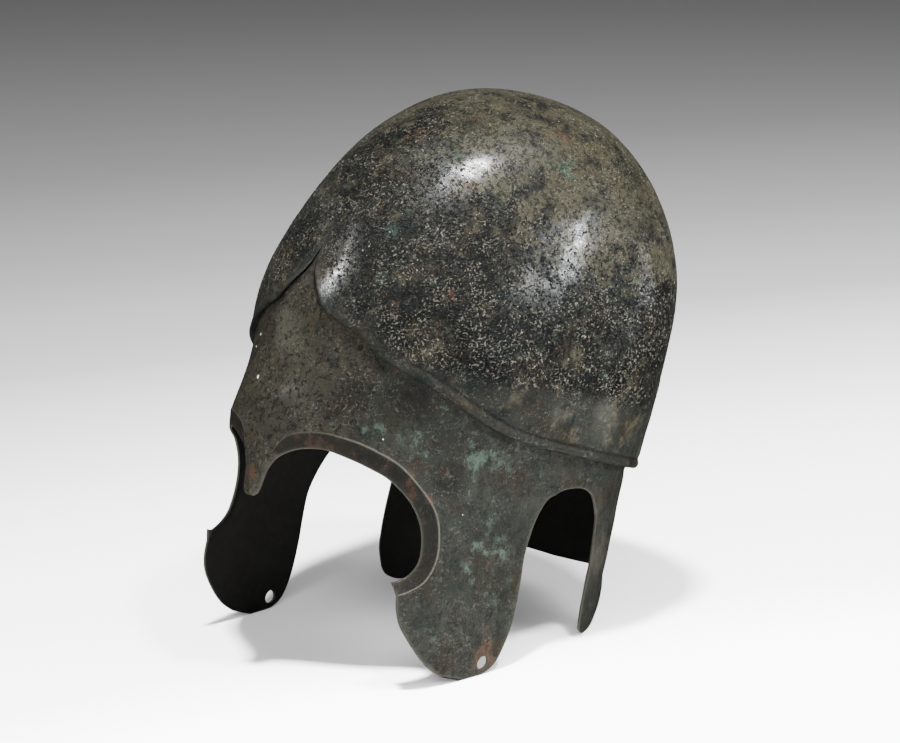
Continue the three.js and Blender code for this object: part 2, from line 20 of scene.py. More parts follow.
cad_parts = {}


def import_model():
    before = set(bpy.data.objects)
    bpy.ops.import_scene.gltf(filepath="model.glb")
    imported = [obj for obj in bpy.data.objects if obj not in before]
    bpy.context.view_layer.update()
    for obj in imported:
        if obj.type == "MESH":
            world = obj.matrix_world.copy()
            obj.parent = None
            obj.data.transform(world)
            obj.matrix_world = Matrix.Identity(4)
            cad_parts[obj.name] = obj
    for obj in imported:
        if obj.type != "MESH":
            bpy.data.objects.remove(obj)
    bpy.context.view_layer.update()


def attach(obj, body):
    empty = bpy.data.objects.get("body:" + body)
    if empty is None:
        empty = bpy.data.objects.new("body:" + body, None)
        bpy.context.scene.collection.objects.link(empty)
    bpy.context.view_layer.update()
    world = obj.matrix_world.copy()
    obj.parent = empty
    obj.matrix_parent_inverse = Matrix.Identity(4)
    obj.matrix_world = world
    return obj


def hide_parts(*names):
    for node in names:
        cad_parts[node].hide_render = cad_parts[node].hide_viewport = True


log = logging.getLogger("bronze_helmet")
MM = 0.001
# A drop this near to the crown's, in millimetres, counts as the crown.
CLOSE = 1e-9
# No direction is divided by less than this length.
LEAST = 1e-20
Pair = tuple[float, float]
Triple = tuple[float, float, float]
Colour = tuple[float, float, float]


class Slot(Enum):
    """The record's material slots."""

    DARK = "dark_bronze"
    GREEN = "green_bronze"
    BROWN = "brown_bronze"


class Region(Enum):
    """Regions of the wall below the ridge, on the left half and across the middle."""

    BROW = 0
    NOSE = 1
    RIM = 2
    SIDE = 3
    CHEEK = 4
    NECK = 5


# Form of the sheet


def smooth_step(value: np.ndarray, low: float, high: float) -> np.ndarray:
    """Rise smoothly from 0 at low to 1 at high.

    Args:
        value: Values to grade.
        low: Where the rise starts.
        high: Where the rise ends.

    Returns:
        The graded values.
    """
    t = np.clip((value - low) / (high - low), 0.0, 1.0)
    return t * t * (3.0 - 2.0 * t)


def hump(value: np.ndarray, middle: float, reach: float) -> np.ndarray:
    """Rise to 1 at the middle and die away over the reach."""
    return np.exp(-(((value - middle) / reach) ** 2))


def read_rows(rows: np.ndarray, place: np.ndarray, column: int) -> np.ndarray:
    """Read a table with a cubic through its rows.

    Args:
        rows: Table whose first column holds the places.
        place: Places to read at.
        column: Column to read.

    Returns:
        One value for each place.
    """
    x, y = rows[:, 0], rows[:, column]
    last = len(rows) - 1
    low = np.maximum(np.arange(last + 1) - 1, 0)
    high = np.minimum(np.arange(last + 1) + 1, last)
    slope = (y[high] - y[low]) / (x[high] - x[low])
    i = np.clip(np.searchsorted(x, place, side="left") - 1, 0, last - 1)
    span = x[i + 1] - x[i]
    t = (place - x[i]) / span
    risen = t * t * (3.0 - 2.0 * t)
    bend = span * t * (1.0 - t) * ((1.0 - t) * slope[i] - t * slope[i + 1])
    return y[i] * (1.0 - risen) + y[i + 1] * risen + bend


def line_through(rows: Sequence[Sequence[float]], steps: int = 30) -> np.ndarray:
    """Run a smooth line through places.

    Args:
        rows: Places as turn and drop share.
        steps: Points between one place and the next.

    Returns:
        Places along the line as turn in degrees and drop in millimetres.
    """
    points = np.array(rows, float) * (1.0, HelmetSizes.cheek_drop)
    padded = np.vstack([points[0], points, points[-1]])
    t = np.linspace(0.0, 1.0, steps, endpoint=False)[:, None]
    parts = []
    for a, b, c, d in zip(padded[:-3], padded[1:-2], padded[2:-1], padded[3:]):
        start, end = (c - a) / 2, (d - b) / 2
        cubic = (2 * b - 2 * c + start + end) * t**3
        parts.append(cubic + (3 * c - 3 * b - 2 * start - end) * t**2 + start * t + b)
    return np.vstack([*parts, points[-1:]])


@dataclass(frozen=True)
class HelmetSizes:
    """Sizes of the helmet in millimetres, and turns in degrees."""

    side_reach: float = 93.5
    front_reach: float = 129.5
    back_reach: float = 93.2
    crown_rise: float = 130.5
    crown_lead: float = 5.0
    cheek_drop: float = 170.0
    sheet: float = 1.5
    # Exponents of the plan at the widest level, and what the cheeks' full drop adds.
    front_plan: Pair = (2.02, 0.87)
    back_plan: Pair = (2.08, 0.18)
    # Egg shape at the crown and at the widest level, and how far up the first is reached.
    eggs: Triple = (0.2, 0.05, 0.46)
    # Exponents of the side, front and back profiles above the widest level.
    profiles: Triple = (2.47, 1.71, 2.07)
    lean: float = 17.625
    shift: Triple = (0.0, 29.7716, 147.2954)
    step_apex: float = 0.5
    step_brow: float = 3.2
    step_nape: float = 5.5
    step_turns: Pair = (-60.0, 40.0)
    apex_fade: float = 34.0
    crown_step: float = 4.005
    bead_rise: float = 0.5
    groove: float = 0.45
    keel_rise: float = 1.3
    keel_half_width: float = 9.0
    keel_shares: Pair = (-0.12, 0.42)
    brow_swell: float = 1.5
    rim_bevel: float = 2.2
    rim_power: float = 1.3
    rim_bead: float = 0.22
    nose_ridge: float = 1.6
    foot_spread: float = 2.4
    foot_spread_height: float = 20.0
    # Turn, drop share and radius.
    tie_hole: Triple = (-5.4, 0.925, 3.4)


# Drop share, then side, front and back reach as shares of those at the widest level.
WALL_ROWS = np.array(
    [
        [-0.1, 0.959, 1.001, 1.031], [0, 1, 1, 1], [0.1, 0.959, 1.001, 1.031],
        [0.2, 0.897, 1.015, 1.076], [0.3, 0.864, 1.04, 1.099], [0.4, 0.857, 1.055, 1.104],
        [0.6, 0.884, 1.057, 1.078], [0.8, 0.884, 1.099, 1.027], [1, 0.86, 1.197, 0.94],
    ]
)
# Turn and drop share of the ridge.
RIDGE_ROWS = np.array(
    [
        [-90, -0.176], [-89, -0.13], [-85.7, -0.074], [-82.8, -0.037], [-79.7, -0.003],
        [-75, 0.018], [-66, 0.058], [-57, 0.107], [-44, 0.15], [-32, 0.196], [-17, 0.25],
        [0, 0.266], [40, 0.275], [90, 0.282],
    ]
)
# Turn and drop share of the rim's edge, then of its crease.
RIM_ROWS = np.array(
    [
        [-82, 0.435, -85.4, 0.435], [-78, 0.417, -82, 0.385], [-73.5, 0.404, -76.5, 0.36],
        [-66, 0.395, -67.5, 0.345], [-57, 0.406, -57.3, 0.349], [-50, 0.421, -49, 0.366],
        [-43.5, 0.442, -41.2, 0.394], [-37, 0.486, -33.2, 0.456], [-32.7, 0.542, -28.6, 0.512],
        [-30.6, 0.6, -26.4, 0.58], [-29.8, 0.656, -25.5, 0.65], [-31.2, 0.697, -26.8, 0.712],
        [-34, 0.723, -30.1, 0.749], [-36, 0.732, -33.4, 0.769],
    ]
)
# Drop share on the nose guard, then the turn from its middle to its side and to its border.
NOSE_ROWS = np.array(
    [
        [0.435, 8, 4.6], [0.452, 5.6, 3.9], [0.48, 3.6, 2.6], [0.51, 2.6, 1.7],
        [0.54, 2.1, 1.2], [0.563, 1.5, 0.7], [0.576, 0.5, 0.2],
    ]
)
# Turns and drop shares along the other outlines.
CHEEK_FRONT = [
    (-33.4, 0.769), (-32, 0.806), (-29.3, 0.85), (-25.1, 0.892), (-17.8, 0.955), (-13, 0.982),
]
CHEEK_REAR = [
    (-3, 0.5), (-3.6, 0.58), (-3, 0.67), (-2.5, 0.76), (-2.5, 0.84), (-3.1, 0.92), (-5, 0.963),
    (-8, 0.984),
]
EAR_ARCH = [
    (-3, 0.5), (-2, 0.448), (-0.2, 0.401), (3.8, 0.374), (10.5, 0.363), (16.6, 0.38),
    (21, 0.435),
]
NECK_FRONT = [
    (21, 0.435), (22, 0.5), (22.4, 0.58), (23, 0.66), (24, 0.72), (26.5, 0.777),
]
NECK_BOTTOM = [
    (26.5, 0.777), (29, 0.799), (34, 0.805), (40, 0.785), (47, 0.735), (54, 0.675), (61, 0.63),
    (70, 0.612), (80, 0.614), (90, 0.617),
]
# Turns where the brow ends and the neck guard starts, and the drop share of a cheek's head.
BROW_TURN = -52.0
EAR_TURN = 21.0
CHEEK_TOP = 0.5
# Turn beyond which the wall below the nose guard's head is the nose guard.
NOSE_TURN = -80.0
# Distances to each side, in millimetres and degrees, over which slopes are measured.
PROBE_DROP = 0.34
PROBE_TURN = 0.3
# Turns over which the painted shade under the lip thins from the apex to the arms, and by how
# much.
LIP_SHADE_TURNS = (-84.0, -70.0)
LIP_SHADE_LOSS = 0.6


@dataclass(frozen=True)
class HammerDents:
    """Shallow hammer dents, always inward, made of waves in fixed directions."""

    depth: float = 0.34
    swing: float = 0.12
    limit: float = 2.4
    # Length of each wave in millimetres, and its weight.
    waves: tuple[Pair, ...] = ((46.0, 1.0), (29.0, 0.8), (18.0, 0.5), (11.0, 0.28))
    ways: int = 5
    seed: int = 11

    def at(self, points: np.ndarray) -> np.ndarray:
        """Give the dents' outsets at points, all of them below zero."""
        random = np.random.default_rng(self.seed)
        total = np.zeros(points.shape[:-1])
        weight = 0.0
        for length, size in self.waves:
            for _ in range(self.ways):
                way = random.normal(size=3)
                way /= np.linalg.norm(way)
                phase = random.uniform(0.0, 2 * math.pi)
                total += size * np.sin(points @ way * (2 * math.pi / length) + phase)
                weight += size * size / 2
        swung = np.clip(total / math.sqrt(weight), -self.limit, self.limit)
        return -self.depth + self.swing * swung


@dataclass(frozen=True)
class SheetForm:
    """The raised sheet as a surface over places, each a turn and a drop.

    A turn runs from the face at -90 over the left ear at 0 to the nape at 90. A drop is the
    depth below the widest level of the skull.
    """

    sizes: HelmetSizes = field(default_factory=HelmetSizes)
    dents: HammerDents = field(default_factory=HammerDents)

    def reaches(self, drop: np.ndarray) -> tuple[np.ndarray, ...]:
        """Give side, front and back reach and the crown's lead at each drop."""
        s = self.sizes
        share = np.maximum(drop, 0.0) / s.cheek_drop
        up = np.clip(-drop / s.crown_rise, 0.0, 1.0)
        below = drop > 0
        found = []
        for column, reach in enumerate((s.side_reach, s.front_reach, s.back_reach)):
            power = s.profiles[column]
            wall = read_rows(WALL_ROWS, share, column + 1)
            found.append(reach * np.where(below, wall, (1 - up**power) ** (1 / power)))
        return (*found, s.crown_lead * up**2)

    def wall(self, turn: np.ndarray, drop: np.ndarray) -> np.ndarray:
        """Give the bare wall's points round the head.

        Args:
            turn: Turns in degrees.
            drop: Drops in millimetres.

        Returns:
            Points in millimetres, one row each.
        """
        s = self.sizes
        side_reach, front_reach, back_reach, lead = self.reaches(drop)
        across, along = np.cos(np.radians(turn)), np.sin(np.radians(turn))
        low = np.maximum(drop, 0.0) / s.cheek_drop
        front = along < 0
        power = np.where(
            front,
            s.front_plan[0] + s.front_plan[1] * low,
            s.back_plan[0] + s.back_plan[1] * low,
        )
        up = smooth_step(-drop / s.crown_rise, 0.0, s.eggs[2])
        egg = s.eggs[1] * (1 - low) * (1 - up) + s.eggs[0] * up
        side = np.sign(across) * np.abs(across) ** (2 / power)
        depth = np.sign(along) * np.abs(along) ** (2 / power)
        reach = np.where(front, front_reach, back_reach)
        x = side_reach * side * (1 + egg * along)
        return np.stack([x, reach * depth - lead, -drop], axis=-1)

    def normals(self, turn: np.ndarray, drop: np.ndarray) -> np.ndarray:
        """Give the wall's outward directions from its slopes to each side."""
        high = np.maximum(drop - PROBE_DROP, -self.sizes.crown_rise)
        round_it = self.wall(turn + PROBE_TURN, drop) - self.wall(turn - PROBE_TURN, drop)
        upward = self.wall(turn, high) - self.wall(turn, drop + PROBE_DROP)
        across = np.cross(round_it, upward)
        length = np.linalg.norm(across, axis=-1, keepdims=True)
        found = across / np.maximum(length, LEAST)
        found[drop <= -self.sizes.crown_rise + CLOSE] = (0.0, 0.0, 1.0)
        return found

    def ridge(self, turn: np.ndarray) -> np.ndarray:
        """Give the drop of the ridge at turns on either half."""
        return self.sizes.cheek_drop * read_rows(RIDGE_ROWS, half_turn(turn), 1)

    def step(self, turn: np.ndarray, drop: np.ndarray) -> np.ndarray:
        """Give the skull's height above the wall, dying away round the apex."""
        s = self.sizes
        nape = smooth_step(half_turn(turn), *s.step_turns)
        rise = s.step_brow + (s.step_nape - s.step_brow) * nape
        apex = self.wall(np.array([-90.0]), self.ridge(np.array([-90.0])))[0]
        apart = np.linalg.norm(self.wall(turn, drop) - apex, axis=-1)
        return s.step_apex + (rise - s.step_apex) * smooth_step(apart, 0.0, s.apex_fade)

    def framed(self, points: np.ndarray) -> np.ndarray:
        """Lean the points back and shift them into the frame, in metres."""
        lean = math.radians(self.sizes.lean)
        x, y, z = np.moveaxis(points, -1, 0)
        leaned = np.stack(
            [
                x,
                y * math.cos(lean) + z * math.sin(lean),
                z * math.cos(lean) - y * math.sin(lean),
            ],
            axis=-1,
        )
        placed = (leaned + self.sizes.shift) * MM
        placed[..., 2] = np.maximum(placed[..., 2], 0.0)
        return placed


def half_turn(turn: np.ndarray) -> np.ndarray:
    """Fold a turn onto the left half of the helmet."""
    return np.where(turn < -90, -180 - turn, np.where(turn > 90, 180 - turn, turn))


def mirror_turn(turn: np.ndarray) -> np.ndarray:
    """Give the matching turn on the other half of the helmet."""
    return np.where(turn < 0, -180 - turn, 180 - turn)


def lip_shade_on_arms(turn: np.ndarray) -> np.ndarray:
    """Give how much of the apex's painted shade under the lip is left at each turn of the ridge.
    """
    return 1.0 - LIP_SHADE_LOSS * smooth_step(half_turn(turn), *LIP_SHADE_TURNS)


# Patches of corrosion

Patch = tuple[float, float, float, float]
# Turn, drop, radius in millimetres and strength of each patch.
PATCHES: dict[str, tuple[Patch, ...]] = {
    "verdigris": (
        (-16.4, 52.1, 8.0, 1.2), (-22.9, 57.0, 8.0, 1.3), (-6.0, 55.0, 6.0, 0.7),
        (-40.1, 53.5, 6.5, 1.2), (-52.0, 52.0, 5.0, 0.8), (-13.6, 85.5, 8.0, 0.8),
        (-15.3, 99.3, 6.0, 1.1), (-10.1, 97.7, 7.0, 1.0), (-16.5, 113.6, 6.0, 1.0),
        (-30.7, 65.1, 5.0, 0.5), (-66.2, -45.8, 5.0, 1.5), (-58.0, -84.0, 8.0, 1.3),
        (-20.0, -95.0, 9.0, 1.2), (-64.0, -20.0, 5.0, 1.1), (-150.0, 60.0, 9.0, 0.9),
        (120.0, 70.0, 10.0, 1.0), (60.0, 80.0, 8.0, 0.8), (-172.0, 105.0, 7.0, 0.9),
    ),
    "rust": (
        (-89.7, -55.7, 4.0, 1.2), (-72.0, -61.1, 4.0, 1.2), (-91.9, -20.9, 5.0, 1.0),
        (-90.1, 86.2, 6.0, 1.3), (-58.8, 65.1, 4.0, 1.2), (-53.9, 65.0, 4.0, 1.0),
        (-38.2, 76.3, 4.5, 1.3), (-30.7, 80.9, 4.0, 1.2), (-31.2, 125.2, 6.0, 1.0),
        (-84.0, 4.0, 7.0, 0.8), (-7.1, 145.4, 8.0, 1.0), (-5.0, 157.0, 9.0, 2.0),
        (-42.2, 6.9, 3.5, 1.2), (-85.0, -95.0, 9.0, 0.9), (-50.0, -78.0, 8.0, 1.2),
        (-45.0, -22.0, 5.0, 1.2), (-20.0, -112.0, 9.0, 1.0), (30.0, -100.0, 8.0, 0.9),
        (-30.0, -108.0, 7.0, 1.1), (0.0, -97.0, 6.0, 1.1), (-62.0, -110.0, 7.0, 1.0),
        (140.0, -60.0, 9.0, 0.8),
    ),
    # Patches where the colour is darker.
    "dark_patch": (
        (-48.8, 35.1, 11.0, 1.1), (-68.1, 47.2, 8.0, 1.0), (-62.1, 37.3, 10.0, 1.2),
        (-42.3, 37.9, 10.0, 0.9), (-27.3, 69.1, 11.0, 1.2), (-34.0, 50.0, 8.0, 0.7),
        (-59.7, 12.9, 9.0, 0.7), (-25.2, -11.5, 18.0, 0.6), (-31.1, 17.1, 12.0, 1.0),
        (-9.3, -18.0, 12.0, 0.6), (62.0, -38.0, 18.0, 1.2), (-105.5, -79.2, 12.0, 0.9),
        (10.5, -74.9, 10.0, 0.8), (-62.0, -104.0, 12.0, 0.9), (14.4, -100.0, 13.0, 0.9),
        (150.0, -90.0, 14.0, 0.8), (-160.0, 70.0, 12.0, 0.8), (120.0, 30.0, 14.0, 0.8),
    ),
    "pale": (
        (-90.7, 17.8, 14.0, 0.9), (-95.2, 8.6, 10.0, 0.7), (-97.7, 40.6, 9.0, 0.7),
        (-0.3, 54.1, 9.0, 0.4), (22.3, 66.0, 9.0, 0.6), (28.0, 95.0, 15.0, 1.4),
        (65.3, 100.8, 14.0, 1.1), (56.0, 11.2, 20.0, 1.5), (7.2, 24.9, 12.0, 0.9),
        (-6.8, 23.8, 10.0, 0.8), (3.0, 14.7, 9.0, 0.8), (-2.3, -10.2, 8.0, 0.6),
        (-68.4, -92.0, 11.0, 0.9), (-34.1, -98.0, 12.0, 0.9), (-6.9, -85.0, 9.0, 0.8),
        (-9.3, 104.1, 9.0, 0.5), (-110.0, -60.0, 12.0, 0.8), (170.0, 10.0, 14.0, 0.8),
        (-78.0, -80.0, 15.0, 0.8), (-98.0, -52.0, 12.0, 0.6),
    ),
}
PATCH_LIMIT = 1.5
MASKS = ("inside", "crease", "edge", "line", "rim", "brow", "pitted", "crown")


def patch_masks(form: SheetForm, bare: np.ndarray) -> dict[str, np.ndarray]:
    """Give how strongly each kind of patch shows.

    Args:
        form: The sheet that the patches lie on.
        bare: Points of the bare wall.

    Returns:
        One mask for each kind.
    """
    found = {}
    for name, patches in PATCHES.items():
        total = np.zeros(len(bare))
        for turn, drop, radius, strength in patches:
            middle = form.wall(np.array([turn]), np.array([drop]))[0]
            apart = np.linalg.norm(bare - middle, axis=1) / radius
            total += strength * np.exp(-(apart**2))
        found[name] = np.minimum(total, PATCH_LIMIT)
    return found


# Meshes


@dataclass
class Shell:
    """Points, triangles and masks of one sheet, gathered before it becomes a mesh."""

    points: np.ndarray
    faces: np.ndarray
    masks: dict[str, np.ndarray]

    def normals(self) -> np.ndarray:
        """Average the directions of the faces round each point."""
        a, b, c = (self.points[self.faces[:, k]] for k in range(3))
        face = np.cross(b - a, c - a)
        total = np.zeros_like(self.points)
        for k in range(3):
            np.add.at(total, self.faces[:, k], face)
        length = np.linalg.norm(total, axis=1, keepdims=True)
        return total / np.maximum(length, LEAST)

    def to_object(self, name: str, normals: np.ndarray | None = None) -> Any:
        """Make the Blender object, with smooth faces and one float layer for each mask.

        Args:
            name: Name of the piece.
            normals: Directions to shade by, or None to leave them to the mesh.

        Returns:
            The new object, linked to the scene.
        """
        mesh = bpy.data.meshes.new(name)
        mesh.from_pydata(self.points.tolist(), [], self.faces.tolist())
        mesh.polygons.foreach_set("use_smooth", np.ones(len(self.faces), bool))
        for mask, values in self.masks.items():
            layer = mesh.attributes.new(mask, "FLOAT", "POINT")
            layer.data.foreach_set("value", values.astype(np.float32))
        mesh.update()
        if normals is not None:
            mesh.normals_split_custom_set_from_vertices(normals.tolist())
        made = bpy.data.objects.new(name, mesh)
        bpy.context.scene.collection.objects.link(made)
        return made


def grid_faces(rows: int, columns: int, start: int = 0) -> np.ndarray:
    """Give the triangles of a grid that closes to a ring and whose rows run downward.

    Args:
        rows: Number of rows.
        columns: Number of columns, the last of which meets the first.
        start: Index of the grid's first point.

    Returns:
        Triangles that face outward.
    """
    i, j = np.meshgrid(np.arange(rows - 1), np.arange(columns), indexing="ij")
    k = (j + 1) % columns
    a, b = i * columns + j, (i + 1) * columns + j
    c, d = (i + 1) * columns + k, i * columns + k
    upper = np.stack([a, b, c], -1).reshape(-1, 3)
    lower = np.stack([a, c, d], -1).reshape(-1, 3)
    return np.vstack([upper, lower]) + start


def inside(points: np.ndarray, loop: np.ndarray) -> np.ndarray:
    """Tell which points lie inside a closed loop, by counting crossings."""
    x, y = points[:, 0], points[:, 1]
    found = np.zeros(len(points), bool)
    for (ax, ay), (bx, by) in zip(loop, np.roll(loop, -1, axis=0)):
        if ay == by:
            continue
        crosses = ((ay > y) != (by > y)) & (x < (bx - ax) * (y - ay) / (by - ay) + ax)
        found ^= crosses
    return found


def boundary(faces: np.ndarray) -> np.ndarray:
    """Give the directed edges that only one triangle has."""
    edges = np.vstack([faces[:, [0, 1]], faces[:, [1, 2]], faces[:, [2, 0]]]).astype(np.int64)
    size = int(edges.max()) + 1
    there, back = edges[:, 0] * size + edges[:, 1], edges[:, 1] * size + edges[:, 0]
    return edges[~np.isin(there, back)]


def nearest(points: np.ndarray, others: np.ndarray, block: int = 300) -> np.ndarray:
    """Give each point's distance to the nearest of the others, worked out in blocks.

    Args:
        points: Points to measure from.
        others: Points to measure to.
        block: How many of the others are taken at once.

    Returns:
        One distance for each point.
    """
    found = np.full(len(points), np.inf)
    for low in range(0, len(points), block * 20):
        here = points[low : low + block * 20, None]
        for start in range(0, len(others), block):
            apart = np.linalg.norm(here - others[None, start : start + block], axis=-1)
            found[low : low + block * 20] = np.minimum(
                found[low : low + block * 20], apart.min(1)
            )
    return found


# Stretches of the left half's turns, each with its number of columns. They are closest
# together where the ridge meets at the brow.
RING_STRETCHES = (
    (-90.0, -84.0, 24),
    (-84.0, -72.0, 24),
    (-72.0, BROW_TURN, 22),
    (BROW_TURN, EAR_TURN, 80),
    (EAR_TURN, 90.0, 76),
)


def ring_turns() -> np.ndarray:
    """Give the turns of the left half."""
    parts = [np.linspace(low, high, n, endpoint=False) for low, high, n in RING_STRETCHES]
    return np.concatenate([*parts, [90.0]])


@dataclass
class Skull:
    """The raised skull with its stepped and beaded lip."""

    form: SheetForm
    dome_rows: int = 104
    inner_rows: int = 40
    # Lip from its foot: distance above the ridge, then outset as a share of the step.
    lip: tuple[Pair, ...] = (
        (0.0, 0.0), (0.4, 0.02), (0.12, 0.35), (0.0, 0.66), (0.08, 0.8), (0.3, 0.89),
        (0.7, 0.95), (1.1, 0.975), (1.6, 0.99), (2.1, 1.0), (2.6, 1.0), (3.1, 1.0), (3.6, 1.0),
        (4.2, 1.0), (4.9, 1.0), (5.6, 1.0), (6.3, 1.0), (7.2, 1.0), (8.2, 1.0), (9.4, 1.0),
    )
    inner_lip: tuple[Pair, ...] = ((0.0, 0.0), (0.9, 0.1), (1.8, 0.55), (3.0, 0.95), (5.0, 1.0))
    # Outset share at which the lip's foot ends and its face begins.
    face_share: float = 0.9
    # Heights over which the dents set in and the painted shade in the crease dies away.
    dent_fade: float = 0.7
    lip_shade_fade: float = 0.8
    steepest: float = 2.4
    probe: float = 0.2
    # Share of the way to the crown at which the step is even all round.
    even_share: float = 0.6
    # Middle and reach, above the ridge, of the bead, its groove and the painted shade in the
    # groove.
    bead: Pair = (2.4, 1.6)
    groove: Pair = (5.9, 1.4)
    painted_shade: Pair = (5.6, 0.8)
    groove_shade_strength: float = 0.6
    bead_turns: Pair = (-76.0, -40.0)
    groove_shade_turns: Pair = (-72.0, -55.0)
    # Height at which the pitting starts at the front, and what the sides add to it.
    pit_start: Pair = (4.0, 26.0)
    pit_turns: Pair = (-50.0, -5.0)
    pit_fade: Pair = (-3.0, 9.0)
    # Heights over which the pitting thins, by a share, and the worn crown sets in.
    calm: Pair = (90.0, 122.0)
    calm_share: float = 0.35
    worn: Pair = (72.0, 116.0)
    top: float = 130.0

    def turns(self) -> np.ndarray:
        """Give the turns of the whole ring."""
        half = ring_turns()
        return np.concatenate([half, mirror_turn(half[1:-1])[::-1]])

    def slant(self, turn: np.ndarray) -> np.ndarray:
        """Give how much further up than square to the ridge a column runs."""
        drop = self.form.ridge(turn)
        beside = self.form.wall(turn + self.probe, drop)
        run = np.linalg.norm(beside - self.form.wall(turn, drop), axis=-1)
        slope = (self.form.ridge(turn + self.probe) - drop) / run
        return np.minimum(np.hypot(1.0, slope), self.steepest)

    def beading(self, turn: np.ndarray, height: np.ndarray) -> np.ndarray:
        """Give the bead along the lip and the groove above it."""
        s = self.form.sizes
        share = smooth_step(half_turn(turn), *self.bead_turns)
        bead, groove = hump(height, *self.bead), hump(height, *self.groove)
        return share * (s.bead_rise * bead - s.groove * groove)

    def shade(self, turn: np.ndarray, height: Any, near: float) -> np.ndarray:
        """Give the painted shade under the lip and in the groove above its bead.

        Args:
            turn: Turns of the row.
            height: Distance above the ridge.
            near: Closeness to the crease.

        Returns:
            The painted shade's strength, softer along the arms than at the apex.
        """
        arms = smooth_step(half_turn(turn), *self.groove_shade_turns)
        groove = hump(height, *self.painted_shade) * self.groove_shade_strength * arms
        return np.maximum(near * lip_shade_on_arms(turn), groove)

    def dome(self, foot: np.ndarray, rows: int) -> Iterator[tuple[np.ndarray, float]]:
        """Give the drops of each row above the foot, and its share of the way to the crown."""
        for i in range(1, rows):
            share = math.sin(i / rows * math.pi / 2)
            yield foot + (-self.form.sizes.crown_rise - foot) * share, share

    def outer(self) -> tuple[np.ndarray, np.ndarray, np.ndarray]:
        """Give the outer grid from the crown down, its painted shade and its height over the
        ridge.
        """
        turn = self.turns()
        ridge, slant = self.form.ridge(turn), self.slant(turn)
        rows, painted_shade, above = [], [], []
        for height, share in self.lip:
            drop = ridge - height * slant
            outset = self.form.step(turn, drop) * share
            near = 1.0
            if share > self.face_share:
                outset = outset + self.beading(turn, np.full_like(turn, height))
                near = math.exp(-height / self.lip_shade_fade)
            rows.append(self.lifted(turn, drop, outset, min(1.0, height / self.dent_fade)))
            painted_shade.append(self.shade(turn, height, near))
            above.append(np.full_like(turn, height))
        foot = ridge - self.lip[-1][0] * slant
        for drop, share in self.dome(foot, self.dome_rows):
            height = (ridge - drop) / slant
            outset = self.dome_step(turn, drop, share) + self.beading(turn, height)
            rows.append(self.lifted(turn, drop, outset, 1.0))
            painted_shade.append(self.shade(turn, height, 0.0))
            above.append(ridge - drop)
        return np.array(rows[::-1]), np.array(painted_shade[::-1]), np.array(above[::-1])

    def dome_step(self, turn: np.ndarray, drop: np.ndarray, share: float) -> np.ndarray:
        """Give the step above the lip, which evens out on its way to the crown."""
        even = float(smooth_step(np.array(share), 0.0, self.even_share))
        step = self.form.step(turn, drop)
        return step + (self.form.sizes.crown_step - step) * even

    def lifted(
        self, turn: np.ndarray, drop: np.ndarray, outset: np.ndarray, dented: float
    ) -> np.ndarray:
        """Give points at an outset, with the hammer dents in a given share."""
        bare, dents = self.form.wall(turn, drop), self.form.dents
        depth = outset + dents.at(bare) * dented + (1 - dented) * -dents.depth
        return bare + self.form.normals(turn, drop) * depth[:, None]

    def inner(self) -> np.ndarray:
        """Give the inner grid, which follows the step more softly."""
        turn = self.turns()
        ridge, slant = self.form.ridge(turn), self.slant(turn)
        sheet = self.form.sizes.sheet
        rows = []
        for height, share in self.inner_lip:
            drop = ridge - height * slant
            outset = self.form.step(turn, drop) * share - sheet
            rows.append(self.lifted(turn, drop, outset, 1.0 if height else 0.0))
        foot = ridge - self.inner_lip[-1][0] * slant
        for drop, share in self.dome(foot, self.inner_rows):
            outset = self.dome_step(turn, drop, share) - sheet
            rows.append(self.lifted(turn, drop, outset, 1.0))
        return np.array(rows[::-1])

    def build(self) -> Shell:
        """Build the closed bowl, with its foot capped under the crease.

        Returns:
            The skull's shell in the frame.
        """
        outer, painted_shade, above = self.outer()
        inner = self.inner()
        rows, columns = outer.shape[:2]
        count, within = rows * columns, inner.shape[0] * columns
        s = self.form.sizes
        crown = self.form.wall(np.array([0.0]), np.array([-s.crown_rise]))[0]
        rise = s.crown_step - self.form.dents.depth
        tops = [crown + (0.0, 0.0, rise - depth) for depth in (0.0, s.sheet)]
        points = np.vstack([outer.reshape(-1, 3), inner.reshape(-1, 3), tops])
        top, under = len(points) - 2, len(points) - 1
        j = np.arange(columns)
        k = (j + 1) % columns
        base, hem = count - columns, count + within - columns
        faces = np.vstack(
            [
                grid_faces(rows, columns),
                grid_faces(inner.shape[0], columns, count)[:, ::-1],
                np.stack([base + j, hem + j, hem + k], -1),
                np.stack([base + j, hem + k, base + k], -1),
                np.stack([np.full(columns, top), j, k], -1),
                np.stack([np.full(columns, under), count + k, count + j], -1),
            ]
        )
        masks = {name: np.zeros(len(points)) for name in MASKS}
        masks["inside"][count : count + within] = 1.0
        masks["inside"][under] = 1.0
        # The crease mask holds painted shade under the lip and in the groove above its bead.
        masks["crease"][:count] = painted_shade.reshape(-1)
        around, up = np.zeros(len(points)), np.zeros(len(points))
        around[:count] = np.tile(half_turn(self.turns()), rows)
        up[:count] = above.reshape(-1)
        up[top] = self.top
        start = self.pit_start[0] + self.pit_start[1] * smooth_step(around, *self.pit_turns)
        calm = 1 - self.calm_share * smooth_step(up, *self.calm)
        masks["pitted"] = smooth_step(up - start, *self.pit_fade) * calm
        masks["crown"] = smooth_step(up, *self.worn)
        masks.update(patch_masks(self.form, points))
        return Shell(self.form.framed(points), faces, masks)


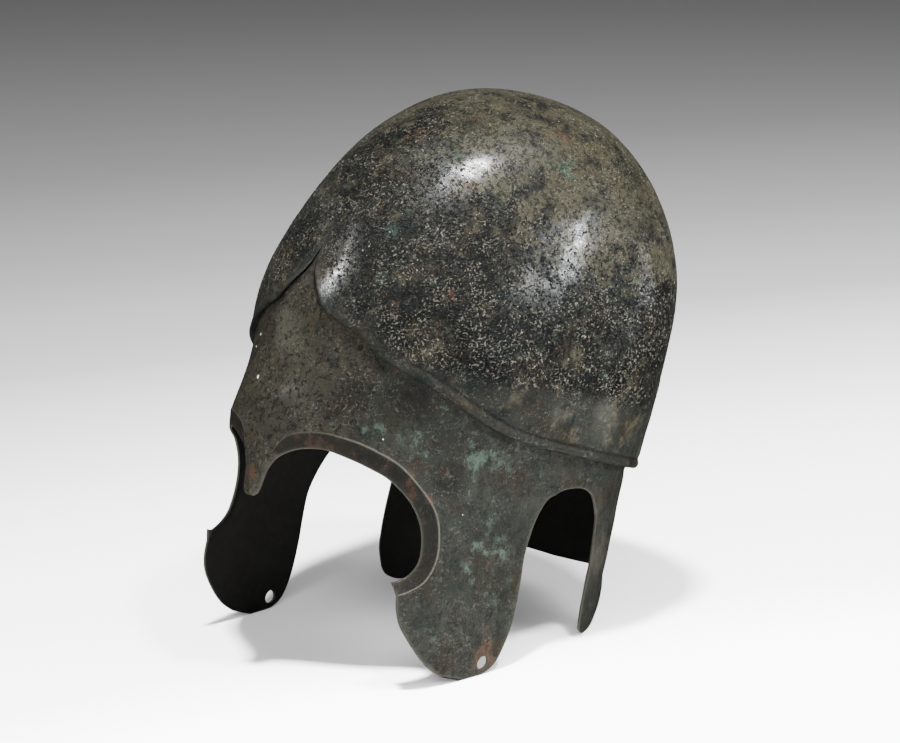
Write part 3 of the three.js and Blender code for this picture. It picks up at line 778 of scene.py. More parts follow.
@dataclass
class Crust:
    """Flakes of hard corrosion strewn over the pitted part of the skull."""

    density: float = 105000.0
    smallest: float = 0.3
    largest: float = 0.85
    slimness: float = 0.42
    thickness: float = 0.14
    seed: int = 5
    clear: float = 0.35
    # How pitted the skull is where the flakes set in and where they are at their thickest.
    hold: Pair = (0.4, 1.0)
    crowd_scale: float = 62.0
    crowd_range: Pair = (0.45, 0.6)
    crowd_least: float = 0.05
    spin: float = 6.2832

    def tree(self) -> Any:
        """Build the tree that strews, turns and flattens the flakes.

        Returns:
            The node group, with its sizes as named inputs.
        """
        tree = bpy.data.node_groups.new("strewn_flakes", "GeometryNodeTree")
        kinds = dict.fromkeys(("Density", "Smallest", "Largest", "Slimness", "Thickness"), "Float")
        kinds = {"Geometry": "Geometry", **kinds, "Seed": "Int", "Material": "Material"}
        for name, kind in kinds.items():
            tree.interface.new_socket(name, in_out="INPUT", socket_type="NodeSocket" + kind)
        tree.interface.new_socket("Geometry", in_out="OUTPUT", socket_type="NodeSocketGeometry")
        desk = NodeDesk(tree)
        given = desk.make("NodeGroupInput", {}, {})
        share = desk.make(
            "GeometryNodeInputNamedAttribute", {"data_type": "FLOAT"}, {"Name": "crusted"}
        )
        crowd = desk.make("ShaderNodeTexNoise", {}, {"Scale": self.crowd_scale, "Detail": 3.0})
        low, high = self.crowd_range
        crowd = desk.make(
            "ShaderNodeMapRange", {}, {0: crowd, 1: low, 2: high, 3: self.crowd_least, 4: 1.0}
        )
        amount = share * crowd * given.beside("Density")
        strewn = desk.make(
            "GeometryNodeDistributePointsOnFaces",
            {"distribute_method": "RANDOM"},
            {"Mesh": given, "Density": amount, "Seed": given.beside("Seed")},
        )
        flake = desk.make("GeometryNodeMeshIcoSphere", {}, {"Radius": 1.0, "Subdivisions": 1})
        least, most = given.beside("Smallest"), given.beside("Largest")
        kind = {"data_type": "FLOAT"}
        length, breadth, spin = (
            desk.make("FunctionNodeRandomValue", kind, {2: low, 3: high, "Seed": seed}, 1)
            for low, high, seed in ((least, most, 1), (least, most, 2), (0.0, self.spin, 3))
        )
        slim, thick = breadth * given.beside("Slimness"), given.beside("Thickness")
        scale = desk.make("ShaderNodeCombineXYZ", {}, {0: length, 1: slim, 2: thick})
        placed = desk.make(
            "GeometryNodeInstanceOnPoints",
            {},
            {
                "Points": strewn,
                "Instance": flake,
                "Rotation": strewn.beside("Rotation"),
                "Scale": scale,
            },
        )
        way = desk.make("ShaderNodeCombineXYZ", {}, {2: spin})
        turned = desk.make(
            "GeometryNodeRotateInstances",
            {},
            {"Instances": placed, "Rotation": way, "Local Space": True},
        )
        real = desk.make("GeometryNodeRealizeInstances", {}, {"Geometry": turned})
        finish = given.beside("Material")
        dressed = desk.make("GeometryNodeSetMaterial", {}, {"Geometry": real, "Material": finish})
        desk.make("NodeGroupOutput", {}, {0: dressed})
        return tree

    def build(self, skull: Shell, finish: Any) -> Any:
        """Strew the flakes over the outside of the skull and make them one plain mesh.

        Args:
            skull: The skull's shell, in metres.
            finish: The flakes' material.

        Returns:
            The flakes as one object.
        """
        points = skull.points
        within = np.minimum(points - points.min(0), points.max(0) - points)
        within[:, 2] = points[:, 2].max() - points[:, 2]
        free = (within.min(1) > self.clear * MM).astype(float)
        crusted = smooth_step(skull.masks["pitted"], *self.hold) * free
        outside = (skull.masks["inside"][skull.faces] == 0).all(1)
        host = Shell(points, skull.faces[outside], {"crusted": crusted}).to_object("host")
        tree = self.tree()
        strew = host.modifiers.new("flakes", "NODES")
        strew.node_group = tree
        given = {
            "Density": self.density,
            "Smallest": self.smallest * MM,
            "Largest": self.largest * MM,
            "Slimness": self.slimness,
            "Thickness": self.thickness * MM,
            "Seed": self.seed,
            "Material": finish,
        }
        for item in tree.interface.items_tree:
            if item.in_out == "INPUT" and item.name in given:
                strew[item.identifier] = given[item.name]
        bpy.context.view_layer.update()
        graph = bpy.context.evaluated_depsgraph_get()
        mesh = bpy.data.meshes.new_from_object(host.evaluated_get(graph))
        mesh.name = "flakes"
        mesh.polygons.foreach_set("use_smooth", np.ones(len(mesh.polygons), bool))
        host.modifiers.remove(strew)
        bare = host.data
        bpy.data.objects.remove(host)
        bpy.data.meshes.remove(bare)
        flakes = bpy.data.objects.new("flakes", mesh)
        bpy.context.scene.collection.objects.link(flakes)
        return flakes


@dataclass
class FlatWall:
    """The wall laid flat and divided into triangles."""

    places: np.ndarray
    bevels: np.ndarray
    faces: np.ndarray
    regions: np.ndarray
    sides: np.ndarray


@dataclass
class Hem:
    """The wall's cut edge, and where its points stand among all of the wall's points."""

    count: int
    rounds: int
    slots: dict[int, int]
    cut: set[tuple[int, int]]

    def at(self, vertex: int, row: int) -> int:
        """Give the index of a point on the cut edge, row 0 being the outside."""
        if row == 0:
            return vertex
        if row > self.rounds:
            return self.count + vertex
        return 2 * self.count + (row - 1) * len(self.slots) + self.slots[vertex]

    def strip(self, a: int, b: int) -> list[tuple[int, int, int]]:
        """Give the triangles of one edge, from the outside round to the inside."""
        faces = []
        for row in range(self.rounds + 1):
            faces.append((self.at(b, row), self.at(a, row), self.at(a, row + 1)))
            faces.append((self.at(b, row), self.at(a, row + 1), self.at(b, row + 1)))
        return faces

    def fan(self, vertex: int, turned: bool) -> list[tuple[int, int, int]]:
        """Give the triangles that cap the cut edge at the end of a seam."""
        edge = [self.at(vertex, row) for row in range(1, self.rounds + 2)]
        pairs = zip(edge, edge[1:])
        return [(vertex, b, a) if turned else (vertex, a, b) for a, b in pairs]


@dataclass
class CutWall:
    """The whole wall as one closed sheet, from which pieces are cut.

    Its faces run in three groups: the outside, the inside and the cut edges.
    """

    shell: Shell
    regions: np.ndarray
    sides: np.ndarray
    hem: Hem

    def chosen(self, region: Region, side: int | None) -> np.ndarray:
        """Tell which faces belong to a region, on one side or on both."""
        found = self.regions == region.value
        return found if side is None else found & (self.sides == side)

    def piece(self, normals: np.ndarray, chosen: np.ndarray, name: str) -> Any:
        """Cut one region out of the wall and cap its seams.

        Args:
            normals: The whole wall's directions to shade by.
            chosen: Which of its faces belong to the region.
            name: Name of the piece.

        Returns:
            The closed piece as a Blender object.
        """
        hem, shell = self.hem, self.shell
        faces = shell.faces[chosen]
        loose = boundary(faces[(faces < hem.count).all(1)])
        seams = [(a, b) for a, b in loose.tolist() if (a, b) not in hem.cut]
        caps = []
        for a, b in seams:
            caps += [(b, a, a + hem.count), (b, a + hem.count, b + hem.count)]
        starts, ends = {a for a, _ in seams}, {b for _, b in seams}
        for free, turned in ((starts - ends, False), (ends - starts, True)):
            for vertex in sorted(free & set(hem.slots)):
                caps += hem.fan(vertex, turned)
        whole = np.vstack([faces, np.array(caps)]) if caps else faces
        used, packed = np.unique(whole, return_inverse=True)
        masks = {key: values[used] for key, values in shell.masks.items()}
        part = Shell(shell.points[used], packed.reshape(-1, 3), masks)
        return part.to_object(name, normals[used])


def key_of(place: np.ndarray) -> tuple[int, int]:
    """Give a place as whole numbers, to tell when it stands already."""
    return int(round(place[0] * 1e4)), int(round(place[1] * 1e4))


@dataclass
class Wall:
    """The wall below the ridge, cut to its outline and divided into its regions."""

    form: SheetForm
    spacing: float = 1.35
    edge_spacing: float = 0.9
    head_spacing: float = 0.8
    # Shares of the spacing between rows, and kept clear of places that stand already.
    row_share: float = 0.866
    clear_share: float = 0.6
    # Millimetres to a degree of turn when the wall is laid flat.
    across: float = 1.9
    rim_shares: tuple[float, ...] = (0.0, 0.06, 0.16, 0.34, 0.52, 0.7, 0.86, 0.94, 1.0)
    nose_rows: int = 37
    nose_columns: int = 12
    # Rings round the tie hole: distance from its edge, and number of points.
    rings: tuple[tuple[float, int], ...] = ((0.0, 44), (0.45, 44), (1.3, 36))
    # Rows round a cut edge: how far each stands out, and its depth in the sheet.
    rounds: tuple[Pair, ...] = ((-0.08, 0.16), (0.0, 0.5), (0.0, 1.0), (-0.08, 1.34))
    hem_inset: float = 0.34
    # Drop below the ridge over which the dents set in, and the groove under the lip.
    dent_fade: float = 4.0
    groove_depth: float = 0.55
    groove_width: float = 1.1
    # Shares of the nose guard's length where its ridge and its turned foot are full.
    nose_ridge_share: float = 0.3
    nose_foot_share: float = 0.75
    bead_shares: Pair = (0.1, 0.1)
    flare_turns: Pair = (32.0, 55.0)
    swell_turns: Pair = (56.0, 76.0)
    swell_drop: float = 42.0
    swell_apex: float = 7.0
    # Painted highlight along the rim's crease: its middle and reach as shares across the rim.
    line: Pair = (0.06, 0.045)
    highlight_line_least: float = 0.35
    highlight_line_turns: Pair = (-72.0, -52.0)
    brow_turns: Pair = (-50.0, -64.0)
    # Painted shade on the rim band: how fast it sets in across the band, and its share on the nose
    # guard.
    rim_fade: float = 0.12
    nose_rim: float = 0.2
    edge_fade: float = 0.55
    crease_fade: float = 1.4
    # How pitted the wall is, and what the brow adds.
    pitting: Pair = (0.35, 0.5)

    def measured(self, line: np.ndarray) -> np.ndarray:
        """Give each place's distance along a line, measured on the surface."""
        solid = self.form.wall(line[:, 0], line[:, 1])
        steps = np.linalg.norm(np.diff(solid, axis=0), axis=1)
        return np.concatenate([[0.0], np.cumsum(steps)])

    @staticmethod
    def spaced(line: np.ndarray, length: np.ndarray, count: int) -> np.ndarray:
        """Divide a line into equal parts of its length."""
        at = np.linspace(0.0, length[-1], count + 1)
        return np.stack([np.interp(at, length, line[:, k]) for k in (0, 1)], -1)

    def evenly(self, line: np.ndarray, spacing: float) -> np.ndarray:
        """Space places evenly along a line, measured on the surface."""
        length = self.measured(line)
        return self.spaced(line, length, max(int(round(length[-1] / spacing)), 2))

    def on_ridge(self, turn: float) -> list[float]:
        """Give the place on the ridge at a turn."""
        return [turn, self.form.ridge(np.array([turn]))[0]]

    def lines(self) -> dict[str, np.ndarray]:
        """Give every line of the left half: its outline first, then its divisions."""
        drop, turns = self.form.sizes.cheek_drop, ring_turns()
        edge, crease = line_through(RIM_ROWS[:, :2]), line_through(RIM_ROWS[:, 2:])
        length = self.measured(crease)
        count = int(round(length[-1] / self.edge_spacing))
        edge, crease = self.spaced(edge, length, count), self.spaced(crease, length, count)
        down = np.sin(np.linspace(0.0, math.pi / 2, self.nose_rows))
        share = NOSE_ROWS[0, 0] + (NOSE_ROWS[-1, 0] - NOSE_ROWS[0, 0]) * down
        nose = np.stack([-90.0 + read_rows(NOSE_ROWS, share, 1), share * drop], -1)
        nose[0] = edge[0]
        foot = [-90.0, nose[-1, 1]]
        across = np.array(self.rim_shares)[:, None]
        outline = {
            "ridge": np.stack([turns, self.form.ridge(turns)], -1),
            "nape": np.array([self.on_ridge(90.0), [90.0, NECK_BOTTOM[-1][1] * drop]]),
            "neck_foot": line_through(NECK_BOTTOM)[::-1],
            "neck_front": line_through(NECK_FRONT)[::-1],
            "ear": line_through(EAR_ARCH)[::-1],
            "cheek_rear": line_through(CHEEK_REAR),
            "cheek_foot": np.array([CHEEK_REAR[-1], CHEEK_FRONT[-1]]) * (1.0, drop),
            "cheek_front": line_through(CHEEK_FRONT)[::-1],
            "rim_foot": crease[-1] + (edge[-1] - crease[-1]) * across,
            "edge": edge[::-1],
            "nose": nose,
            "tip": np.array([nose[-1], foot]),
            "face": np.array([foot, self.on_ridge(-90.0)]),
        }
        kept = {"ridge", "edge", "nose", "rim_foot"}
        made = {
            name: line if name in kept else self.evenly(line, self.edge_spacing)
            for name, line in outline.items()
        }
        made["crease"] = crease
        head = np.array([[-90.0, edge[0, 1]], crease[0]])
        made["nose_head"] = self.evenly(head, self.head_spacing)
        at_brow = int(np.argmax(crease[:, 0] > BROW_TURN))
        at_cheek = int(np.argmax(crease[:, 1] > CHEEK_TOP * drop))
        divisions = {
            "brow_side": [self.on_ridge(BROW_TURN), crease[at_brow]],
            "cheek_head": [crease[at_cheek], (CHEEK_REAR[0][0], CHEEK_REAR[0][1] * drop)],
            "ear_side": [self.on_ridge(EAR_TURN), (EAR_TURN, EAR_ARCH[-1][1] * drop)],
        }
        for name, ends in divisions.items():
            made[name] = self.evenly(np.array(ends), self.spacing)
        return made

    def outline(self, lines: dict[str, np.ndarray]) -> np.ndarray:
        """Join the lines of the outline to one loop without doubled corners."""
        names = list(lines)[: list(lines).index("face") + 1]
        return np.vstack([lines[name][:-1] for name in names])

    def scaled(self, places: np.ndarray) -> np.ndarray:
        """Give places with turns stretched to millimetres, for even triangles."""
        return places * (self.across, 1.0)

    def rim_places(self, lines: dict[str, np.ndarray]) -> tuple[np.ndarray, np.ndarray]:
        """Give the places inside the rim's band and their share of the way to the edge."""
        crease, edge = lines["crease"], lines["edge"][::-1]
        places, shares = [], []
        for share in self.rim_shares[1:-1]:
            places.append(crease + (edge - crease) * share)
            shares.append(np.full(len(crease), share))
        return np.vstack(places), np.concatenate(shares)

    def nose_places(self, lines: dict[str, np.ndarray]) -> np.ndarray:
        """Give the places inside the nose guard, row by row below its head."""
        asides = np.linspace(0.0, 1.0, self.nose_columns, endpoint=False)
        rows = [
            np.stack([-90.0 + asides * (turn + 90.0), np.full(len(asides), drop)], -1)
            for turn, drop in lines["nose"][1:-1:2]
        ]
        return np.vstack(rows)

    def hole_rings(self) -> list[np.ndarray]:
        """Give the tie hole's edge and two rings round it as places."""
        turn, share, radius = self.form.sizes.tie_hole
        drop = share * self.form.sizes.cheek_drop
        turns, drops = np.array([turn, turn + 1.0, turn]), np.array([drop, drop, drop + 1.0])
        at = self.form.wall(turns, drops)
        per_turn, per_drop = np.linalg.norm(at[1] - at[0]), np.linalg.norm(at[2] - at[0])
        rings = []
        for more, count in self.rings:
            angle = np.linspace(0.0, 2 * math.pi, count, endpoint=False)
            reach = radius + more
            aside, down = reach * np.cos(angle) / per_turn, reach * np.sin(angle) / per_drop
            rings.append(np.stack([turn + aside, drop + down], -1))
        return rings

    def on_nose(self, turn: np.ndarray, drop: np.ndarray) -> np.ndarray:
        """Tell which places of the left half lie on the nose guard, below its head."""
        return (drop > NOSE_ROWS[0, 0] * self.form.sizes.cheek_drop) & (turn < NOSE_TURN)

    def nose_shares(self, turn: np.ndarray, low: np.ndarray) -> tuple[np.ndarray, ...]:
        """Give where places stand on the nose guard.

        Args:
            turn: Turns on the left half.
            low: Drops as shares of the cheeks' drop.

        Returns:
            Whether each is on the guard, its shares of the way to the side and across the
            turned border, and how far down it is.
        """
        held = np.clip(low, NOSE_ROWS[0, 0], NOSE_ROWS[-1, 0])
        spread = read_rows(NOSE_ROWS, held, 1)
        middle = read_rows(NOSE_ROWS, held, 2) / spread
        on_nose = (low >= NOSE_ROWS[0, 0]) & (turn < NOSE_TURN)
        across = np.where(on_nose, np.clip(np.abs(turn + 90.0) / spread, 0.0, 1.0), 1.0)
        turned = np.clip((across - middle) / (1 - middle), 0.0, 1.0)
        down = (low - NOSE_ROWS[0, 0]) / (NOSE_ROWS[-1, 0] - NOSE_ROWS[0, 0])
        fraction = np.arcsin(np.clip(down, 0.0, 1.0)) / (math.pi / 2)
        return on_nose, across, turned, fraction

    def relief(self, places: np.ndarray, bevel: np.ndarray) -> np.ndarray:
        """Give the outset of the wall's raised and turned work.

        Args:
            places: Turns and drops.
            bevel: Share of the way from the rim's crease to its edge, 0 off the rim.

        Returns:
            Outsets in millimetres.
        """
        s = self.form.sizes
        turn, drop = half_turn(places[:, 0]), places[:, 1]
        low = drop / s.cheek_drop
        keel = s.keel_rise * np.where(turn < 0, smooth_step(low, *s.keel_shares), 0.0)
        keel = keel * hump(self.form.wall(turn, drop)[:, 0], 0.0, s.keel_half_width)
        on_nose, across, turned, fraction = self.nose_shares(turn, low)
        foot = np.where(on_nose, smooth_step(fraction, self.nose_foot_share, 1.0), 0.0)
        border = np.where(on_nose, turned, bevel)
        share = np.maximum(border**s.rim_power, foot)
        ridge = (1 - across) ** 2 * smooth_step(fraction, 0.0, self.nose_ridge_share)
        ridge = np.where(on_nose, ridge, 0.0)
        bead = np.where(on_nose | (bevel > 0), hump(border, *self.bead_shares), 0.0)
        neck_foot = np.interp(turn, *line_through(NECK_BOTTOM).T)
        flare = smooth_step((drop - neck_foot) / s.foot_spread_height, -1.0, 0.0) ** 2
        flare = s.foot_spread * flare * smooth_step(turn, *self.flare_turns)
        below = drop - self.form.ridge(turn)
        swell = s.brow_swell * smooth_step(-turn, *self.swell_turns)
        swell = swell * smooth_step(-below, -self.swell_drop, 0.0)
        return (
            keel * (1 - ridge)
            + swell * smooth_step(np.abs(turn + 90.0), 0.0, self.swell_apex)
            + s.nose_ridge * ridge * (1 - foot)
            + bead * s.rim_bead
            + flare
            - s.rim_bevel * share
        )

    def places(self) -> tuple[np.ndarray, np.ndarray, np.ndarray, dict[str, np.ndarray]]:
        """Gather the places of the left half and the edges that triangles keep to.

        Returns:
            Places, their shares across the rim, pairs of places to keep, and the lines.
        """
        lines = self.lines()
        outline = self.outline(lines)
        rim, shares = self.rim_places(lines)
        rings = self.hole_rings()
        names = ("crease", "nose_head", "brow_side", "cheek_head", "ear_side")
        chains = [lines[name] for name in names]
        crease, edge = lines["crease"], lines["edge"]
        chains.append(np.vstack([crease[:1], rim[:: len(crease)], edge[-1:]]))
        loops = [outline, *rings]
        nose = self.nose_places(lines)
        fixed = np.vstack([*loops, *chains, rim, nose])
        between = self.grid(outline, fixed, np.vstack([crease, edge]), rings)
        points: list[np.ndarray] = []
        bevels: list[float] = []
        index: dict[tuple[int, int], int] = {}

        def add(place: np.ndarray, bevel: float) -> int:
            """Add a place unless it stands already, and give its number."""
            key = key_of(place)
            if key not in index:
                index[key] = len(points)
                points.append(place)
                bevels.append(bevel)
            return index[key]

        pairs = []
        edge_keys = {key_of(place) for place in edge}
        for loop in loops:
            ids = [add(place, float(key_of(place) in edge_keys)) for place in loop]
            pairs += list(zip(ids, ids[1:] + ids[:1]))
        for place, share in zip(rim, shares):
            add(place, float(share))
        for chain in chains:
            ids = [add(place, 0.0) for place in chain]
            pairs += list(zip(ids[:-1], ids[1:]))
        for place in np.vstack([nose, between]):
            add(place, 0.0)
        kept = np.array([pair for pair in pairs if pair[0] != pair[1]])
        return np.array(points), np.array(bevels), kept, lines

    def grid(
        self,
        outline: np.ndarray,
        fixed: np.ndarray,
        band: np.ndarray,
        rings: list[np.ndarray],
    ) -> np.ndarray:
        """Give evenly staggered places inside the outline, clear of every fixed one.

        Args:
            outline: Loop round the left half.
            fixed: Places that stand already.
            band: Crease and edge of the rim, as one loop.
            rings: Rings round the tie hole, the hole's own edge first.

        Returns:
            The places.
        """
        low, high = self.scaled(outline).min(0), self.scaled(outline).max(0)
        rows = np.arange(low[1], high[1], self.spacing * self.row_share)
        columns = np.arange(low[0], high[0], self.spacing)
        x, y = np.meshgrid(columns, rows)
        x = x + (np.arange(len(rows))[:, None] % 2) * self.spacing / 2
        free = np.stack([x.ravel() / self.across, y.ravel()], -1)
        free = free[inside(free, outline) & ~inside(free, band) & ~inside(free, rings[-1])]
        free = free[~self.on_nose(free[:, 0], free[:, 1])]
        apart = nearest(self.scaled(free), self.scaled(fixed))
        return free[apart > self.spacing * self.clear_share]

    def regions(self, middles: np.ndarray, lines: dict[str, np.ndarray]) -> np.ndarray:
        """Tell which region each triangle of the left half belongs to."""
        turn, drop = middles.T
        cheek = (drop > CHEEK_TOP * self.form.sizes.cheek_drop) & (turn < 0)
        band = inside(middles, np.vstack([lines["crease"], lines["edge"]]))
        found = np.full(len(middles), Region.SIDE.value)
        for region, chosen in (
            (Region.BROW, turn < BROW_TURN),
            (Region.CHEEK, cheek),
            (Region.NECK, turn > EAR_TURN),
            (Region.RIM, band),
            (Region.NOSE, self.on_nose(turn, drop)),
        ):
            found[chosen] = region.value
        return found

    def flat(self) -> FlatWall:
        """Divide the whole wall into triangles, the left half first and then its mirror.

        Returns:
            The flat wall. Its sides are 0 for the left half and 1 for the right.
        """
        places, bevels, pairs, lines = self.places()
        outline = self.outline(lines)
        corners = [Vector(p) for p in self.scaled(places).tolist()]
        made = delaunay_2d_cdt(corners, pairs.tolist(), [], 0, 1e-5)
        if len(made[0]) != len(places):
            log.warning("wall: %d places became %d", len(places), len(made[0]))
        origin = np.array([ids[0] for ids in made[3]])
        faces = origin[np.array(made[2])]
        middles = places[faces].mean(1)
        keep = inside(middles, outline) & ~inside(middles, self.hole_rings()[0])
        faces, middles = faces[keep], middles[keep]
        labels = self.regions(middles, lines)
        solid = self.form.wall(places[:, 0], places[:, 1])
        a, b, c = (solid[faces[:, k]] for k in range(3))
        outward = self.form.normals(middles[:, 0], middles[:, 1])
        wrong = np.einsum("ij,ij->i", np.cross(b - a, c - a), outward) < 0
        faces[wrong] = faces[wrong][:, ::-1]
        middle = np.abs(places[:, 0]) > 90.0 - 1e-4
        other = np.where(middle, np.arange(len(places)), -1)
        other[~middle] = len(places) + np.arange(int((~middle).sum()))
        mirrored = places[~middle].copy()
        mirrored[:, 0] = mirror_turn(mirrored[:, 0])
        everywhere = np.vstack([places, mirrored])
        return FlatWall(
            everywhere,
            np.concatenate([bevels, bevels[~middle]]),
            np.vstack([faces, other[faces][:, ::-1]]),
            np.concatenate([labels, labels]),
            np.repeat([0, 1], len(faces)),
        )

    def build(self) -> CutWall:
        """Build the whole wall as one sheet with rounded cut edges.

        Returns:
            The wall, ready to be cut into pieces.
        """
        flat = self.flat()
        faces, count = flat.faces, len(flat.places)
        turn, drop = flat.places.T
        below = np.maximum(drop - self.form.ridge(turn), 0.0)
        bare, normals = self.form.wall(turn, drop), self.form.normals(turn, drop)
        depth = self.form.dents.depth
        dented = smooth_step(below, 0.0, self.dent_fade)
        dents = -depth + (self.form.dents.at(bare) + depth) * dented
        run = below / self.groove_width
        groove = -self.groove_depth * run * np.exp(1.0 - run)
        raised = self.relief(flat.places, flat.bevels) + dents + groove
        outer = bare + normals * raised[:, None]
        inner = bare + normals * (raised - self.form.sizes.sheet)[:, None]
        loose = boundary(faces)
        on_ridge = below < 1e-6
        cut = loose[~(on_ridge[loose[:, 0]] & on_ridge[loose[:, 1]])].tolist()
        follow = dict(cut)
        before = {b: a for a, b in cut}
        edge = np.array(sorted(follow))
        tangent = bare[[follow[v] for v in edge]] - bare[[before.get(v, v) for v in edge]]
        away = np.cross(tangent, normals[edge])
        away /= np.maximum(np.linalg.norm(away, axis=1, keepdims=True), LEAST)
        rows = [
            outer[edge] + away * beyond - normals[edge] * deep for beyond, deep in self.rounds
        ]
        outer[edge] -= away * self.hem_inset
        inner[edge] -= away * self.hem_inset
        slots = {int(v): i for i, v in enumerate(edge)}
        hem = Hem(count, len(self.rounds), slots, set(map(tuple, cut)))
        owner = {}
        for number, face in enumerate(faces.tolist()):
            for k in range(3):
                owner[(face[k], face[(k + 1) % 3])] = number
        strips, strip_owner = [], []
        for a, b in cut:
            made = hem.strip(a, b)
            strips += made
            strip_owner += [owner[(a, b)]] * len(made)
        every = np.vstack([faces, faces[:, ::-1] + count, np.array(strips)])
        own = np.arange(len(faces))
        owners = np.concatenate([own, own, np.array(strip_owner)])
        points = self.form.framed(np.vstack([outer, inner, *rows]))
        shell = Shell(points, every, self.masks(flat, below, bare, edge))
        return CutWall(shell, flat.regions[owners], flat.sides[owners], hem)

    def masks(
        self, flat: FlatWall, below: np.ndarray, bare: np.ndarray, edge: np.ndarray
    ) -> dict[str, np.ndarray]:
        """Give the masks that the finish reads, for the outside, inside and cut edges.

        Args:
            flat: The flat wall.
            below: Drops below the ridge.
            bare: Points of the bare wall.
            edge: Numbers of the points on the cut edge.

        Returns:
            The masks by name.
        """
        turn, drop = half_turn(flat.places[:, 0]), flat.places[:, 1]
        on_nose, _, turned, _ = self.nose_shares(turn, drop / self.form.sizes.cheek_drop)
        line = np.where(on_nose, turned, flat.bevels)
        line = np.where(line > 0, hump(line, *self.line), 0.0)
        arms = self.highlight_line_least + (1.0 - self.highlight_line_least) * smooth_step(turn, *self.highlight_line_turns)
        brow = smooth_step(turn, *self.brow_turns)
        # The rim mask darkens the inward-turned rim band as painted shade; it also places the
        # rim's copper spots.
        rim = smooth_step(flat.bevels, 0.0, self.rim_fade)
        rim = np.maximum(rim, self.on_nose(turn, drop) * self.nose_rim)
        outside = {
            # Painted shade just below the lip, thinner along the arms.
            "crease": np.exp(-below / self.crease_fade) * lip_shade_on_arms(turn),
            # Painted highlight along the rim's crease and the nose guard's border.
            "line": line * np.where(on_nose, self.highlight_line_least, arms),
            "rim": rim,
            "brow": brow,
            "pitted": self.pitting[0] + self.pitting[1] * brow * (1 - rim),
            "crown": np.zeros(len(bare)),
            **patch_masks(self.form, bare),
        }
        none, cut = np.zeros(len(bare)), np.zeros(len(edge) * len(self.rounds))
        masks = {name: np.concatenate([near, none, cut]) for name, near in outside.items()}
        masks["inside"] = np.concatenate([none, none + 1.0, cut])
        closeness = np.exp(-nearest(bare, bare[edge]) / self.edge_fade)
        masks["edge"] = np.concatenate([closeness, none, cut + 1.0])
        return masks


# Finishes


@dataclass
class Signal:
    """A node's value that takes part in arithmetic by adding Math nodes."""

    desk: NodeDesk
    socket: Any

    def beside(self, name: str) -> Signal:
        """Give another output of the same node."""
        return Signal(self.desk, self.socket.node.outputs[name])

    def math(self, operation: str, *values: Any) -> Signal:
        """Join values by a Math node.

        Args:
            operation: The node's operation.
            values: Signals or numbers, in the node's order.

        Returns:
            The node's result.
        """
        return self.desk.make("ShaderNodeMath", {"operation": operation}, dict(enumerate(values)))

    def __add__(self, other: Any) -> Signal:
        """Add."""
        return self.math("ADD", self, other)

    __radd__ = __add__

    def __sub__(self, other: Any) -> Signal:
        """Take away."""
        return self.math("SUBTRACT", self, other)

    def __rsub__(self, other: Any) -> Signal:
        """Take this away from a number."""
        return self.math("SUBTRACT", other, self)

    def __mul__(self, other: Any) -> Signal:
        """Multiply."""
        return self.math("MULTIPLY", self, other)

    __rmul__ = __mul__

    def graded(self, low: float, high: float) -> Signal:
        """Rise smoothly from 0 at low to 1 at high."""
        settings = {"interpolation_type": "SMOOTHSTEP"}
        sources = {"Value": self, "From Min": low, "From Max": high}
        return self.desk.make("ShaderNodeMapRange", settings, sources)

    def ramp(self, low: float, high: float) -> Signal:
        """Rise evenly from 0 at low to 1 at high."""
        sources = {"Value": self, "From Min": low, "From Max": high}
        return self.desk.make("ShaderNodeMapRange", {"clamp": True}, sources)

    def larger(self, other: Any) -> Signal:
        """Take the larger of the two."""
        return self.math("MAXIMUM", self, other)


class NodeDesk:
    """Makes and joins the nodes of one tree."""

    def __init__(self, tree: Any) -> None:
        """Work on a tree."""
        self.tree = tree

    def make(
        self, kind: str, settings: dict[str, Any], sources: dict[Any, Any], output: Any = 0
    ) -> Signal:
        """Make a node, set it, and feed its sockets.

        Args:
            kind: Type of the node.
            settings: Its settings, set before its sockets are used.
            sources: A value or signal for each socket, by name, identifier or number.
            output: Socket to give back, by name, identifier or number.

        Returns:
            The output as a signal.
        """
        node = self.tree.nodes.new(kind)
        for key, value in settings.items():
            if key == "stops":
                self.set_stops(node.color_ramp, value)
            else:
                setattr(node, key, value)
        for key, value in sources.items():
            socket = self.socket(node.inputs, key)
            if isinstance(value, Signal):
                self.tree.links.new(value.socket, socket)
            elif isinstance(value, tuple) and socket.type == "RGBA":
                socket.default_value = (*value, 1.0)
            else:
                socket.default_value = value
        if len(node.outputs) == 0:
            return Signal(self, None)
        return Signal(self, self.socket(node.outputs, output))

    @staticmethod
    def set_stops(ramp: Any, stops: Sequence[tuple[float, float]]) -> None:
        """Set a ramp's stops to greys at places from 0 to 1."""
        while len(ramp.elements) < len(stops):
            ramp.elements.new(0.5)
        for element, (place, grey) in zip(ramp.elements, stops):
            element.position = place
            element.color = (grey, grey, grey, 1.0)

    @staticmethod
    def socket(sockets: Any, key: Any) -> Any:
        """Find a socket by number, identifier or name."""
        if isinstance(key, int):
            return sockets[key]
        for socket in sockets:
            if socket.identifier == key:
                return socket
        return sockets[key]


